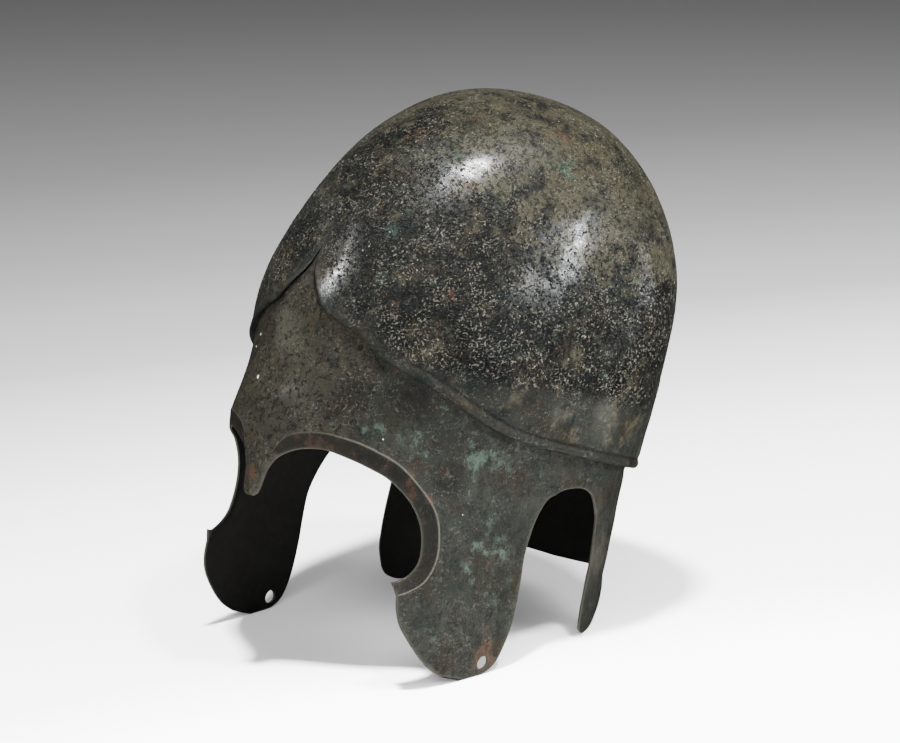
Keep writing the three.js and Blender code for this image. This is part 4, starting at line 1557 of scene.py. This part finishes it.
class FinishDesk(NodeDesk):
    """Makes and joins the nodes of one material."""

    def __init__(self, name: str) -> None:
        """Start a material with an empty tree."""
        self.material = bpy.data.materials.new(name)
        self.material.use_nodes = True
        super().__init__(self.material.node_tree)
        self.tree.nodes.clear()

    def place(self) -> Signal:
        """Give the place on the piece, in metres."""
        return self.make("ShaderNodeTexCoord", {}, {}, "Object")

    def mask(self, name: str) -> Signal:
        """Give one of the mesh's masks."""
        return self.make("ShaderNodeAttribute", {"attribute_name": name}, {}, "Fac")

    def mapped(
        self,
        place: Signal,
        offset: Triple = (0.0, 0.0, 0.0),
        turn: Triple = (0.0, 0.0, 0.0),
        scale: Triple = (1.0, 1.0, 1.0),
    ) -> Signal:
        """Shift, turn and draw out a pattern on the piece."""
        sources = {"Vector": place, "Location": offset, "Rotation": turn, "Scale": scale}
        return self.make("ShaderNodeMapping", {}, sources)

    def noise(self, place: Signal, cloud: Cloud) -> Signal:
        """Make cloudy noise at a place that is already mapped."""
        sources = {
            "Vector": place,
            "Scale": 1.0 / (cloud.size * MM),
            "Detail": cloud.detail,
            "Roughness": cloud.rough,
            "Distortion": cloud.warp,
        }
        return self.make("ShaderNodeTexNoise", {}, sources, "Fac")

    def cloud(self, cloud: Cloud) -> Signal:
        """Make cloudy noise on the piece, at its own offset."""
        return self.noise(self.mapped(self.place(), cloud.offset), cloud)

    def blend(self, share: Any, first: Any, second: Any, mode: str = "MIX") -> Signal:
        """Blend two colours."""
        settings = {"data_type": "RGBA", "blend_type": mode, "clamp_factor": True}
        sources = {"Factor_Float": share, "A_Color": first, "B_Color": second}
        return self.make("ShaderNodeMix", settings, sources, "Result_Color")

    def layered(self, colour: Any, layers: Iterable[tuple[Any, Any]]) -> Any:
        """Lay colours over a first one, each in its share."""
        for share, tone in layers:
            colour = self.blend(share, colour, tone)
        return colour

    def bump(self, depth: float, height: Signal) -> Signal:
        """Turn a height into bumps with a depth in millimetres."""
        sources = {"Strength": 1.0, "Distance": depth * MM, "Height": height}
        return self.make("ShaderNodeBump", {}, sources, "Normal")

    def surface(self, sources: dict[str, Any]) -> Any:
        """End the tree in one surface and give the material."""
        made = self.make("ShaderNodeBsdfPrincipled", {}, sources)
        self.make("ShaderNodeOutputMaterial", {}, {"Surface": made})
        return self.material


@dataclass(frozen=True)
class Cloud:
    """Cloudy noise: the size of its features in millimetres, its offset and its grain."""

    size: float
    offset: Triple = (0.0, 0.0, 0.0)
    detail: float = 4.0
    rough: float = 0.55
    warp: float = 0.0


BROAD = Cloud(30.0, detail=3.0)
DRIFT = Cloud(21.0, (0.7, 0.2, 0.9), 4.0, 0.6)
CHILL = Cloud(17.0, (0.3, 0.9, 0.4), 4.0, 0.6)
MOTTLE = Cloud(8.0, (0.31, 0.07, 0.53), 6.0, 0.62)
GRIT = Cloud(1.0, (0.51, 0.17, 0.83), 3.0, 0.65)
CROWD = Cloud(13.0, (0.9, 0.4, 0.1), 5.0)
LIME = Cloud(7.0, (0.2, 0.6, 0.3), 7.0, 0.66)
RED = Cloud(9.0, (0.4, 0.8, 0.6), 5.0, 0.66, 0.3)
SHEEN = Cloud(6.0, (0.15, 0.35, 0.75))
FLAKE_GRAIN = Cloud(1.6, detail=3.0, rough=0.65)
FLAKE_DRIFT = Cloud(14.0, (0.6, 0.1, 0.3))
CHALK_WHITE = (0.42, 0.47, 0.42)


@dataclass
class Traces:
    """What age left on a patina, as signals that its colour, height and sheen share."""

    mottle: Signal
    grit: Signal
    rust: Signal
    limed: Signal
    rusted: Signal
    sunk: Signal
    raised: Signal
    flecks: Signal


@dataclass(frozen=True)
class Patina:
    """Colours in linear light and amounts of the aged bronze, with sizes in millimetres."""

    name: str
    dark: Colour
    body: Colour
    warm: Colour
    cool: Colour
    # Smooth band above the lip: its own smoother patina, lightened as a painted reflection of the
    # pale floor.
    band: Colour
    pale: Colour
    dark_patch: Colour
    # Colour of the painted highlight along the rim's crease.
    line: Colour
    crown: Colour
    fleck: Colour
    fleck_share: float
    fleck_size: float
    pit_depth: float
    green: Colour
    green_share: float
    copper: Colour
    edge: Colour
    # Near-black of the pits, and the painted shade in the crease under the lip.
    crease: Colour
    # Painted shade of the inward-turned rim band.
    rim: Colour
    brow: Colour
    within: Colour
    gloss: tuple[float, float]
    metal: float
    coat: float
    chalk: tuple[tuple[float, float, float], ...] = ()
    coat_rough: float = 0.2
    bending: float = 1.2

    def traces(self, desk: FinishDesk) -> Traces:
        """Make the signals that colour, height and sheen share.

        Args:
            desk: Where the nodes are made.

        Returns:
            The signals.
        """
        pitted, size = desk.mask("pitted"), self.fleck_size
        mottle, grit, lime, rust = (desk.cloud(one) for one in (MOTTLE, GRIT, LIME, RED))
        across = desk.mapped(desk.place(), turn=(0.5, 0.3, 0.9), scale=(1.0, 1.0, 2.4))
        along = desk.mapped(desk.place(), turn=(-0.6, 0.4, -0.5), scale=(2.4, 1.0, 1.0))
        strokes = Cloud(size, detail=2.0, rough=0.6, warp=0.4)
        dash = desk.noise(across, strokes).larger(desk.noise(along, strokes))
        pit = desk.cloud(Cloud(size * 1.2, (0.11, 0.47, 0.23), 3.0, 0.65, 0.3))
        crowd = desk.cloud(CROWD).graded(0.41, 0.6)
        drawn = lime + (mottle - 0.5) * 0.5 + (grit - 0.5) * 0.3 + desk.mask("verdigris") * 0.2
        reddened = rust + (mottle - 0.5) * 0.4 + (grit - 0.5) * 0.3 + desk.mask("rust") * 0.16
        sunk = (1 - pit + (0.5 - grit) * 0.35).graded(0.5, 0.64) * (0.15 + pitted * 0.85)
        raised = (dash + (grit - 0.5) * 0.5).graded(0.56, 0.76)
        flecks = raised * (0.3 + pitted * 0.7) * (0.25 + crowd * 0.75) * self.fleck_share
        limed = drawn.graded(0.6, 0.84) * self.green_share
        rusted = reddened.graded(0.62, 0.82)
        return Traces(mottle, grit, rust, limed, rusted, sunk, raised, flecks)

    def ground(self, desk: FinishDesk, mottle: Signal) -> Signal:
        """Lay the broad colours: dark and body bronze, then cool, warm, crown and brow tones."""
        broad, drift, chill = (desk.cloud(one) for one in (BROAD, DRIFT, CHILL))
        tone = (broad * 0.4 + mottle * 0.6).graded(0.4, 0.6)
        worn = (desk.mask("crown") + (mottle - 0.5) * 4.0 + (drift - 0.5) * 2.5).graded(0.2, 1.2)
        brow = (desk.mask("brow") + (mottle - 0.5) * 2.6 + (drift - 0.5)).graded(0.2, 1.1)
        pale = (desk.mask("pale") + (mottle - 0.5) * 1.6).graded(0.1, 1.3)
        dark_patch = (desk.mask("dark_patch") + (mottle - 0.5) * 1.6).graded(0.1, 1.2)
        layers = (
            # The smooth band: its own smoother patina, lightened as a painted reflection of the
            # pale floor.
            ((1 - desk.mask("pitted")) * 0.8, self.band),
            (drift.graded(0.5, 0.62) * 0.7, self.warm),
            (chill.graded(0.52, 0.64) * 0.7, self.cool),
            (worn * 0.85, self.crown),
            (brow * 0.8, self.brow),
            (pale * 0.75, self.pale),
            # Darker patches.
            (dark_patch * 0.7, self.dark_patch),
        )
        return desk.layered(desk.blend(tone, self.dark, self.body), layers)

    def chalked(self, desk: FinishDesk, form: SheetForm, grit: Signal) -> Iterator[Any]:
        """Give the layers of the few chalk-white specks."""
        for turn, drop, radius in self.chalk:
            bare = form.wall(np.array([turn]), np.array([drop]))
            spot = tuple(form.framed(bare)[0].tolist())
            sources = {0: desk.place(), 1: spot}
            apart = desk.make("ShaderNodeVectorMath", {"operation": "DISTANCE"}, sources, "Value")
            share = (1 - apart * (1 / (radius * MM)) + (grit - 0.5) * 1.2).graded(0.0, 0.25)
            yield share, CHALK_WHITE

    def colour(self, desk: FinishDesk, form: SheetForm, t: Traces) -> Signal:
        """Lay every colour over the ground, and the inside's over them all."""
        rim = desk.mask("rim")
        spots = (t.rust * 0.5 + t.mottle * 0.5 + (t.grit - 0.5) * 0.2).graded(0.54, 0.62) * rim
        layers = (
            (t.limed, self.green),
            (t.rusted * 0.75, self.copper),
            (t.sunk * 0.8, self.crease),
            (t.flecks, self.fleck),
            # Painted shade darkening the inward-turned rim band.
            (rim * 0.7, self.rim),
            (spots * 0.3, self.copper),
            # Painted shade: near-black under the lip and in the groove above its bead.
            (desk.mask("crease") * 0.9, self.crease),
            (desk.mask("edge") * (0.3 + t.grit * 0.6), self.edge),
            # Painted highlight along the rim's crease.
            (desk.mask("line") * (0.25 + t.grit * 0.9), self.line),
            *self.chalked(desk, form, t.grit),
            (desk.mask("inside"), self.within),
        )
        return desk.layered(self.ground(desk, t.mottle), layers)

    def dress(self, form: SheetForm) -> Any:
        """Build the material from layers of cloudy and masked colour.

        Args:
            form: The sheet, to find the chalk specks on.

        Returns:
            The material.
        """
        desk = FinishDesk(self.name)
        t = self.traces(desk)
        names = ("inside", "crease", "pitted", "brow")
        within, crease, pitted, brow = (desk.mask(name) for name in names)
        height = (
            t.raised * (0.15 + pitted * 0.6)
            + t.grit * (0.3 + pitted * 0.5)
            + t.mottle * 0.9
            + t.limed * 0.25
            - t.sunk * 1.2
        )
        sheen = desk.cloud(SHEEN)
        rough = (
            self.gloss[0]
            + sheen.graded(0.35, 0.65) * (self.gloss[1] - self.gloss[0])
            + t.flecks * 0.1
            + t.limed * 0.2
            + t.rusted * 0.12
            + t.sunk * 0.15
            + crease * 0.3
            + within * 0.45
            + brow * 0.14
        )
        metal = (1 - t.flecks) * (1 - t.limed) * (1 - within) * self.metal
        bare = (1 - (t.sunk * 1.3).ramp(0.0, 1.0)) * (1 - t.limed * 0.7) * (1 - within)
        polish = (0.25 + pitted * 0.75) * (0.35 + sheen.graded(0.4, 0.6) * 0.65)
        polish = polish * (1 - brow * 0.85)
        coat = bare * (1 - crease) * polish * (0.3 + t.grit.graded(0.42, 0.6) * 0.7) * self.coat
        return desk.surface(
            {
                "Base Color": self.colour(desk, form, t),
                "Roughness": rough,
                "Metallic": metal,
                "IOR": self.bending,
                "Coat Weight": coat,
                "Coat Roughness": self.coat_rough,
                "Normal": desk.bump(self.pit_depth, height),
            }
        )


DOME_PATINA = Patina(
    name="dome_patina",
    dark=(0.0015, 0.0018, 0.0016),
    body=(0.0046, 0.0051, 0.0041),
    warm=(0.0120, 0.0096, 0.0056),
    cool=(0.0034, 0.0058, 0.0054),
    band=(0.0130, 0.0138, 0.0112),
    pale=(0.0342, 0.0342, 0.0271),
    dark_patch=(0.0028, 0.0030, 0.0029),
    line=(0.10, 0.095, 0.075),
    crown=(0.0358, 0.0325, 0.0196),
    fleck=(0.1276, 0.1232, 0.0950),
    fleck_share=0.9,
    fleck_size=2.0,
    pit_depth=0.30,
    green=(0.014, 0.036, 0.024),
    green_share=0.8,
    copper=(0.052, 0.025, 0.013),
    edge=(0.05, 0.045, 0.03),
    crease=(0.0012, 0.0013, 0.0012),
    rim=(0.012, 0.008, 0.005),
    brow=(0.024, 0.021, 0.013),
    within=(0.0081, 0.0077, 0.0071),
    gloss=(0.32, 0.44),
    metal=0.03,
    coat=0.85,
)
WALL_PATINA = Patina(
    name="wall_patina",
    dark=(0.0042, 0.0048, 0.0038),
    body=(0.0158, 0.0169, 0.0134),
    warm=(0.0143, 0.0114, 0.0072),
    cool=(0.0105, 0.0133, 0.0105),
    band=(0.0149, 0.0158, 0.0127),
    pale=(0.0309, 0.0298, 0.0220),
    dark_patch=(0.0053, 0.0046, 0.0034),
    line=(0.085, 0.080, 0.063),
    crown=(0.01, 0.01, 0.0075),
    fleck=(0.0880, 0.0880, 0.0680),
    fleck_share=0.55,
    fleck_size=2.4,
    pit_depth=0.20,
    green=(0.0350, 0.0580, 0.0420),
    green_share=0.75,
    copper=(0.0440, 0.0215, 0.0110),
    edge=(0.0360, 0.0336, 0.0272),
    crease=(0.0025, 0.0025, 0.002),
    rim=(0.0049, 0.0046, 0.0036),
    brow=(0.0176, 0.0152, 0.0094),
    within=(0.0081, 0.0077, 0.0071),
    chalk=(
        (-108.4, 18.7, 1.0),
        (-110.6, 25.3, 0.6),
        (-100.8, 39.7, 1.1),
        (-49.0, 56.1, 0.5),
        (-21.7, 85.0, 0.55),
    ),
    gloss=(0.36, 0.5),
    metal=0.03,
    coat=0.3,
)


@dataclass(frozen=True)
class FlakePatina:
    """Dull crust in a dark and a pale tone, in linear light."""

    name: str
    dark: Colour
    pale: Colour
    rusty: Colour
    rough: float

    depth: float = 0.06
    bending: float = 1.3

    def dress(self) -> Any:
        """Build the material from two clouds of tone.

        Returns:
            The material.
        """
        desk = FinishDesk(self.name)
        grain, drift = desk.cloud(FLAKE_GRAIN), desk.cloud(FLAKE_DRIFT)
        colour = desk.blend(grain.graded(0.4, 0.66), self.dark, self.pale)
        return desk.surface(
            {
                "Base Color": desk.blend(drift.graded(0.54, 0.66) * 0.6, colour, self.rusty),
                "Roughness": self.rough,
                "IOR": self.bending,
                "Normal": desk.bump(self.depth, grain),
            }
        )


FLAKE_PATINA = FlakePatina(
    name="flake_patina",
    dark=(0.0060, 0.0065, 0.0050),
    pale=(0.210, 0.192, 0.138),
    rusty=(0.062, 0.040, 0.022),
    rough=0.5,
)


# Studio


@dataclass(frozen=True)
class SoftBox:
    """One soft light: where it stands round the helmet, how large and how bright."""

    name: str
    turn: float
    height: float
    distance: float
    size: tuple[float, float]
    power: float
    tint: Colour = (1.0, 1.0, 1.0)


@dataclass
class Studio:
    """Camera, pale sweep and soft lights."""

    aim: tuple[float, float, float] = (-0.029454, 0.042627, 0.124303)
    way: tuple[float, float, float] = (0.68654, -0.68905, 0.23208)
    distance: float = 1.8639
    lens: float = 138.672
    floor_reach: float = 2.7
    room: float = 0.1
    # Size, place and brightness of the broad light over the floor.
    floor_size: float = 2.6
    floor_place: Triple = (0.4, 0.4, 2.4)
    floor_power: float = 42.0
    floor_rough: float = 0.85
    floor_sink: float = 0.0004
    # Rings of the floor's flat middle, and the height of its backdrop.
    rings: Triple = (0.4, 0.9, 1.5)
    backdrop: float = 3.2
    columns: int = 96
    # Height of the point that the soft boxes face.
    middle: float = 0.14
    boxes: tuple[SoftBox, ...] = (
        SoftBox("overhead_box", 99.0, 75.0, 1.5, (0.2, 0.2), 60.0),
        SoftBox("left_box", -28.0, 38.0, 1.6, (0.14, 0.24), 34.0),
        SoftBox("right_box", 112.0, 25.0, 1.6, (0.13, 0.13), 24.0, (0.94, 0.97, 1.0)),
        SoftBox("rim_box", 140.0, 2.0, 1.8, (0.4, 0.6), 5.0, (0.94, 0.97, 1.0)),
    )
    floor_boxes: tuple[SoftBox, ...] = (
        SoftBox("left_floor_box", 38.0, 74.0, 1.9, (0.17, 0.17), 300.0),
        SoftBox("right_floor_box", 94.0, 66.0, 1.9, (0.2, 0.2), 95.0),
        SoftBox("front_floor_box", 35.0, 30.0, 2.0, (1.2, 1.0), 62.0),
        SoftBox("side_floor_box", 115.0, 28.0, 2.0, (1.2, 1.0), 60.0),
    )
    # Lightness of the floor at shares of the way across it: painted shade standing in for the
    # lamps' falloff.
    painted_falloff: tuple[Pair, ...] = (
        (0.0, 0.93), (0.065, 0.93), (0.095, 0.66), (0.17, 0.6), (0.21, 0.5), (0.25, 0.37),
        (0.29, 0.28), (0.34, 0.18), (0.393, 0.15), (0.453, 0.115), (0.523, 0.095), (0.6, 0.074),
        (0.693, 0.066), (0.813, 0.061), (0.933, 0.058),
    )
    # Reach and sideways tilt of the painted shade on the floor.
    falloff_reach: float = 3.0
    falloff_tilt: float = 0.17

    def camera(self) -> None:
        """Set the camera at the photograph's viewing angle."""
        lens = bpy.data.cameras.new("studio_camera")
        lens.lens, lens.sensor_width = self.lens, 36.0
        lens.clip_start, lens.clip_end = 0.1, 50.0
        camera = bpy.data.objects.new("studio_camera", lens)
        bpy.context.scene.collection.objects.link(camera)
        back = Vector(self.way).normalized()
        camera.location = Vector(self.aim) + back * self.distance
        camera.rotation_mode = "QUATERNION"
        camera.rotation_quaternion = (-back).to_track_quat("-Z", "Y")
        bpy.context.scene.camera = camera

    def sweep_mesh(self) -> Any:
        """Make the mesh of the round floor, which rises into a backdrop.

        Returns:
            The mesh.
        """
        columns, reach = self.columns, self.floor_reach
        profile = [(ring, 0.0) for ring in (*self.rings, reach)]
        for a in np.linspace(0.06, math.pi / 2, 24):
            profile.append((reach + math.sin(a), 1.0 - math.cos(a)))
        profile.append((reach + 1.0, self.backdrop))
        turns = [2 * math.pi * j / columns for j in range(columns)]
        points = [
            (out * math.cos(turn), out * math.sin(turn), rise - self.floor_sink)
            for out, rise in profile
            for turn in turns
        ]
        points.append((0.0, 0.0, -self.floor_sink))
        faces = [(len(points) - 1, j, (j + 1) % columns) for j in range(columns)]
        for low in range(0, (len(profile) - 1) * columns, columns):
            for j in range(columns):
                k, high = (j + 1) % columns, low + columns
                faces.append((low + j, high + j, high + k, low + k))
        mesh = bpy.data.meshes.new("studio_sweep")
        mesh.from_pydata(points, [], faces)
        mesh.polygons.foreach_set("use_smooth", np.ones(len(faces), bool))
        mesh.update()
        return mesh

    def painted_falloff_finish(self) -> Any:
        """Make the floor's finish, whose greying with distance and to one side is painted shade.

        Returns:
            The material.
        """
        desk = FinishDesk("sweep_painted_falloff")
        place = desk.mapped(desk.place(), turn=(0.0, 0.0, -math.pi / 4))
        aside = desk.make("ShaderNodeSeparateXYZ", {}, {0: place}, "X")
        place = desk.mapped(place, (0.0, 0.3, 0.0), scale=(0.45, 1.0, 1.0))
        reach = desk.make("ShaderNodeVectorMath", {"operation": "LENGTH"}, {0: place}, "Value")
        share = reach * (1 / self.falloff_reach) - aside * self.falloff_tilt
        painted_falloff = desk.make("ShaderNodeValToRGB", {"stops": self.painted_falloff}, {0: share})
        return desk.surface({"Base Color": painted_falloff, "Roughness": self.floor_rough})

    def sweep(self) -> Any:
        """Lay the floor and stage it.

        Returns:
            The sweep's object.
        """
        mesh = self.sweep_mesh()
        floor = bpy.data.objects.new("studio_sweep", mesh)
        floor.visible_glossy = False
        bpy.context.scene.collection.objects.link(floor)
        mesh.materials.append(self.painted_falloff_finish())
        return floor

    def floor_light(self) -> Any:
        """Hang a broad light over the floor.

        Returns:
            The light's object.
        """
        lamp = bpy.data.lights.new("floor_box", "AREA")
        lamp.shape, lamp.size, lamp.energy = "DISK", self.floor_size, self.floor_power
        lamp.use_shadow = False
        stand = bpy.data.objects.new("floor_box", lamp)
        stand.location = self.floor_place
        bpy.context.scene.collection.objects.link(stand)
        return stand

    def soft_box(self, box: SoftBox) -> Any:
        """Hang one soft box and turn it to the helmet.

        Args:
            box: Its place, size and brightness.

        Returns:
            The light's object.
        """
        lamp = bpy.data.lights.new(box.name, "AREA")
        lamp.shape = "RECTANGLE"
        lamp.size, lamp.size_y = box.size
        lamp.energy, lamp.color = box.power, box.tint
        turn, height = math.radians(box.turn), math.radians(box.height)
        flat = math.cos(height)
        out = Vector((math.sin(turn) * flat, -math.cos(turn) * flat, math.sin(height)))
        stand = bpy.data.objects.new(box.name, lamp)
        stand.location = Vector((0.0, 0.0, self.middle)) + out * box.distance
        stand.rotation_mode = "QUATERNION"
        stand.rotation_quaternion = (-out).to_track_quat("-Z", "Y")
        bpy.context.scene.collection.objects.link(stand)
        return stand

    def lights(self, floor: Any) -> None:
        """Hang the soft boxes and fill the room with a little grey light.

        Args:
            floor: The sweep, which has a light of its own.
        """
        unlit = bpy.data.collections.new("boxes_leave_out")
        unlit.objects.link(floor)
        unlit.collection_objects[0].light_linking.link_state = "EXCLUDE"
        for box in self.boxes:
            self.soft_box(box).light_linking.receiver_collection = unlit
        lit = bpy.data.collections.new("floor_boxes_light")
        lit.objects.link(floor)
        for box in self.floor_boxes:
            self.soft_box(box).light_linking.receiver_collection = lit
        broad = self.floor_light()
        broad.light_linking.receiver_collection = lit
        world = bpy.data.worlds.new("studio_room")
        world.use_nodes = True
        room = world.node_tree.nodes["Background"]
        room.inputs["Color"].default_value = (1.0, 1.0, 1.0, 1.0)
        room.inputs["Strength"].default_value = self.room
        bpy.context.scene.world = world


# Assembly


@dataclass(frozen=True)
class PiecePlan:
    """Name of a wall piece, its region and side, and the record's slot."""

    name: str
    node: str
    region: Region
    side: int | None
    slot: Slot


PLANS = (
    PiecePlan("brow", "brow_plate", Region.BROW, None, Slot.BROWN),
    PiecePlan("nose_tongue", "nose_guard", Region.NOSE, None, Slot.BROWN),
    PiecePlan("left_rim", "left_eye_rim", Region.RIM, 0, Slot.BROWN),
    PiecePlan("right_rim", "right_eye_rim", Region.RIM, 1, Slot.BROWN),
    PiecePlan("left_side", "left_side_wall", Region.SIDE, 0, Slot.GREEN),
    PiecePlan("right_side", "right_side_wall", Region.SIDE, 1, Slot.GREEN),
    PiecePlan("left_cheek", "left_cheek_guard", Region.CHEEK, 0, Slot.GREEN),
    PiecePlan("right_cheek", "right_cheek_guard", Region.CHEEK, 1, Slot.GREEN),
    PiecePlan("neck", "neck_guard", Region.NECK, None, Slot.GREEN),
)


@dataclass
class Helmet:
    """The whole helmet: the skull and the divided wall, dressed and riding on the frame."""

    form: SheetForm = field(default_factory=SheetForm)

    def strew(self, skull: Shell, slot: Slot) -> None:
        """Strew the skull's flakes and let them ride on the body with it."""
        flakes = Crust().build(skull, FLAKE_PATINA.dress())
        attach(flakes, "root")
        log.info("%s: %d faces", flakes.name, len(flakes.data.polygons))

    def seat(self, piece: Any, node: str, slot: Slot, finish: Any) -> None:
        """Dress a piece and let it ride on the body in its node's place."""
        piece.data.materials.append(finish)
        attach(piece, "root")
        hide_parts(node)
        log.info("%s: %d triangles for %s", piece.name, len(piece.data.polygons), node)

    def build(self) -> None:
        """Build, dress and seat every piece."""
        dome_finish, wall_finish = DOME_PATINA.dress(self.form), WALL_PATINA.dress(self.form)
        dome = Skull(self.form).build()
        self.seat(dome.to_object("skull", dome.normals()), "skull_dome", Slot.DARK, dome_finish)
        self.strew(dome, Slot.DARK)
        wall = Wall(self.form).build()
        normals = wall.shell.normals()
        for plan in PLANS:
            piece = wall.piece(normals, wall.chosen(plan.region, plan.side), plan.name)
            self.seat(piece, plan.node, plan.slot, wall_finish)


def main() -> None:
    """Build the studio and the helmet."""
    logging.basicConfig(level=logging.INFO, format="%(name)s: %(message)s")
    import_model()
    studio = Studio()
    studio.camera()
    studio.lights(studio.sweep())
    Helmet().build()


if __name__ == "__main__":
    main()
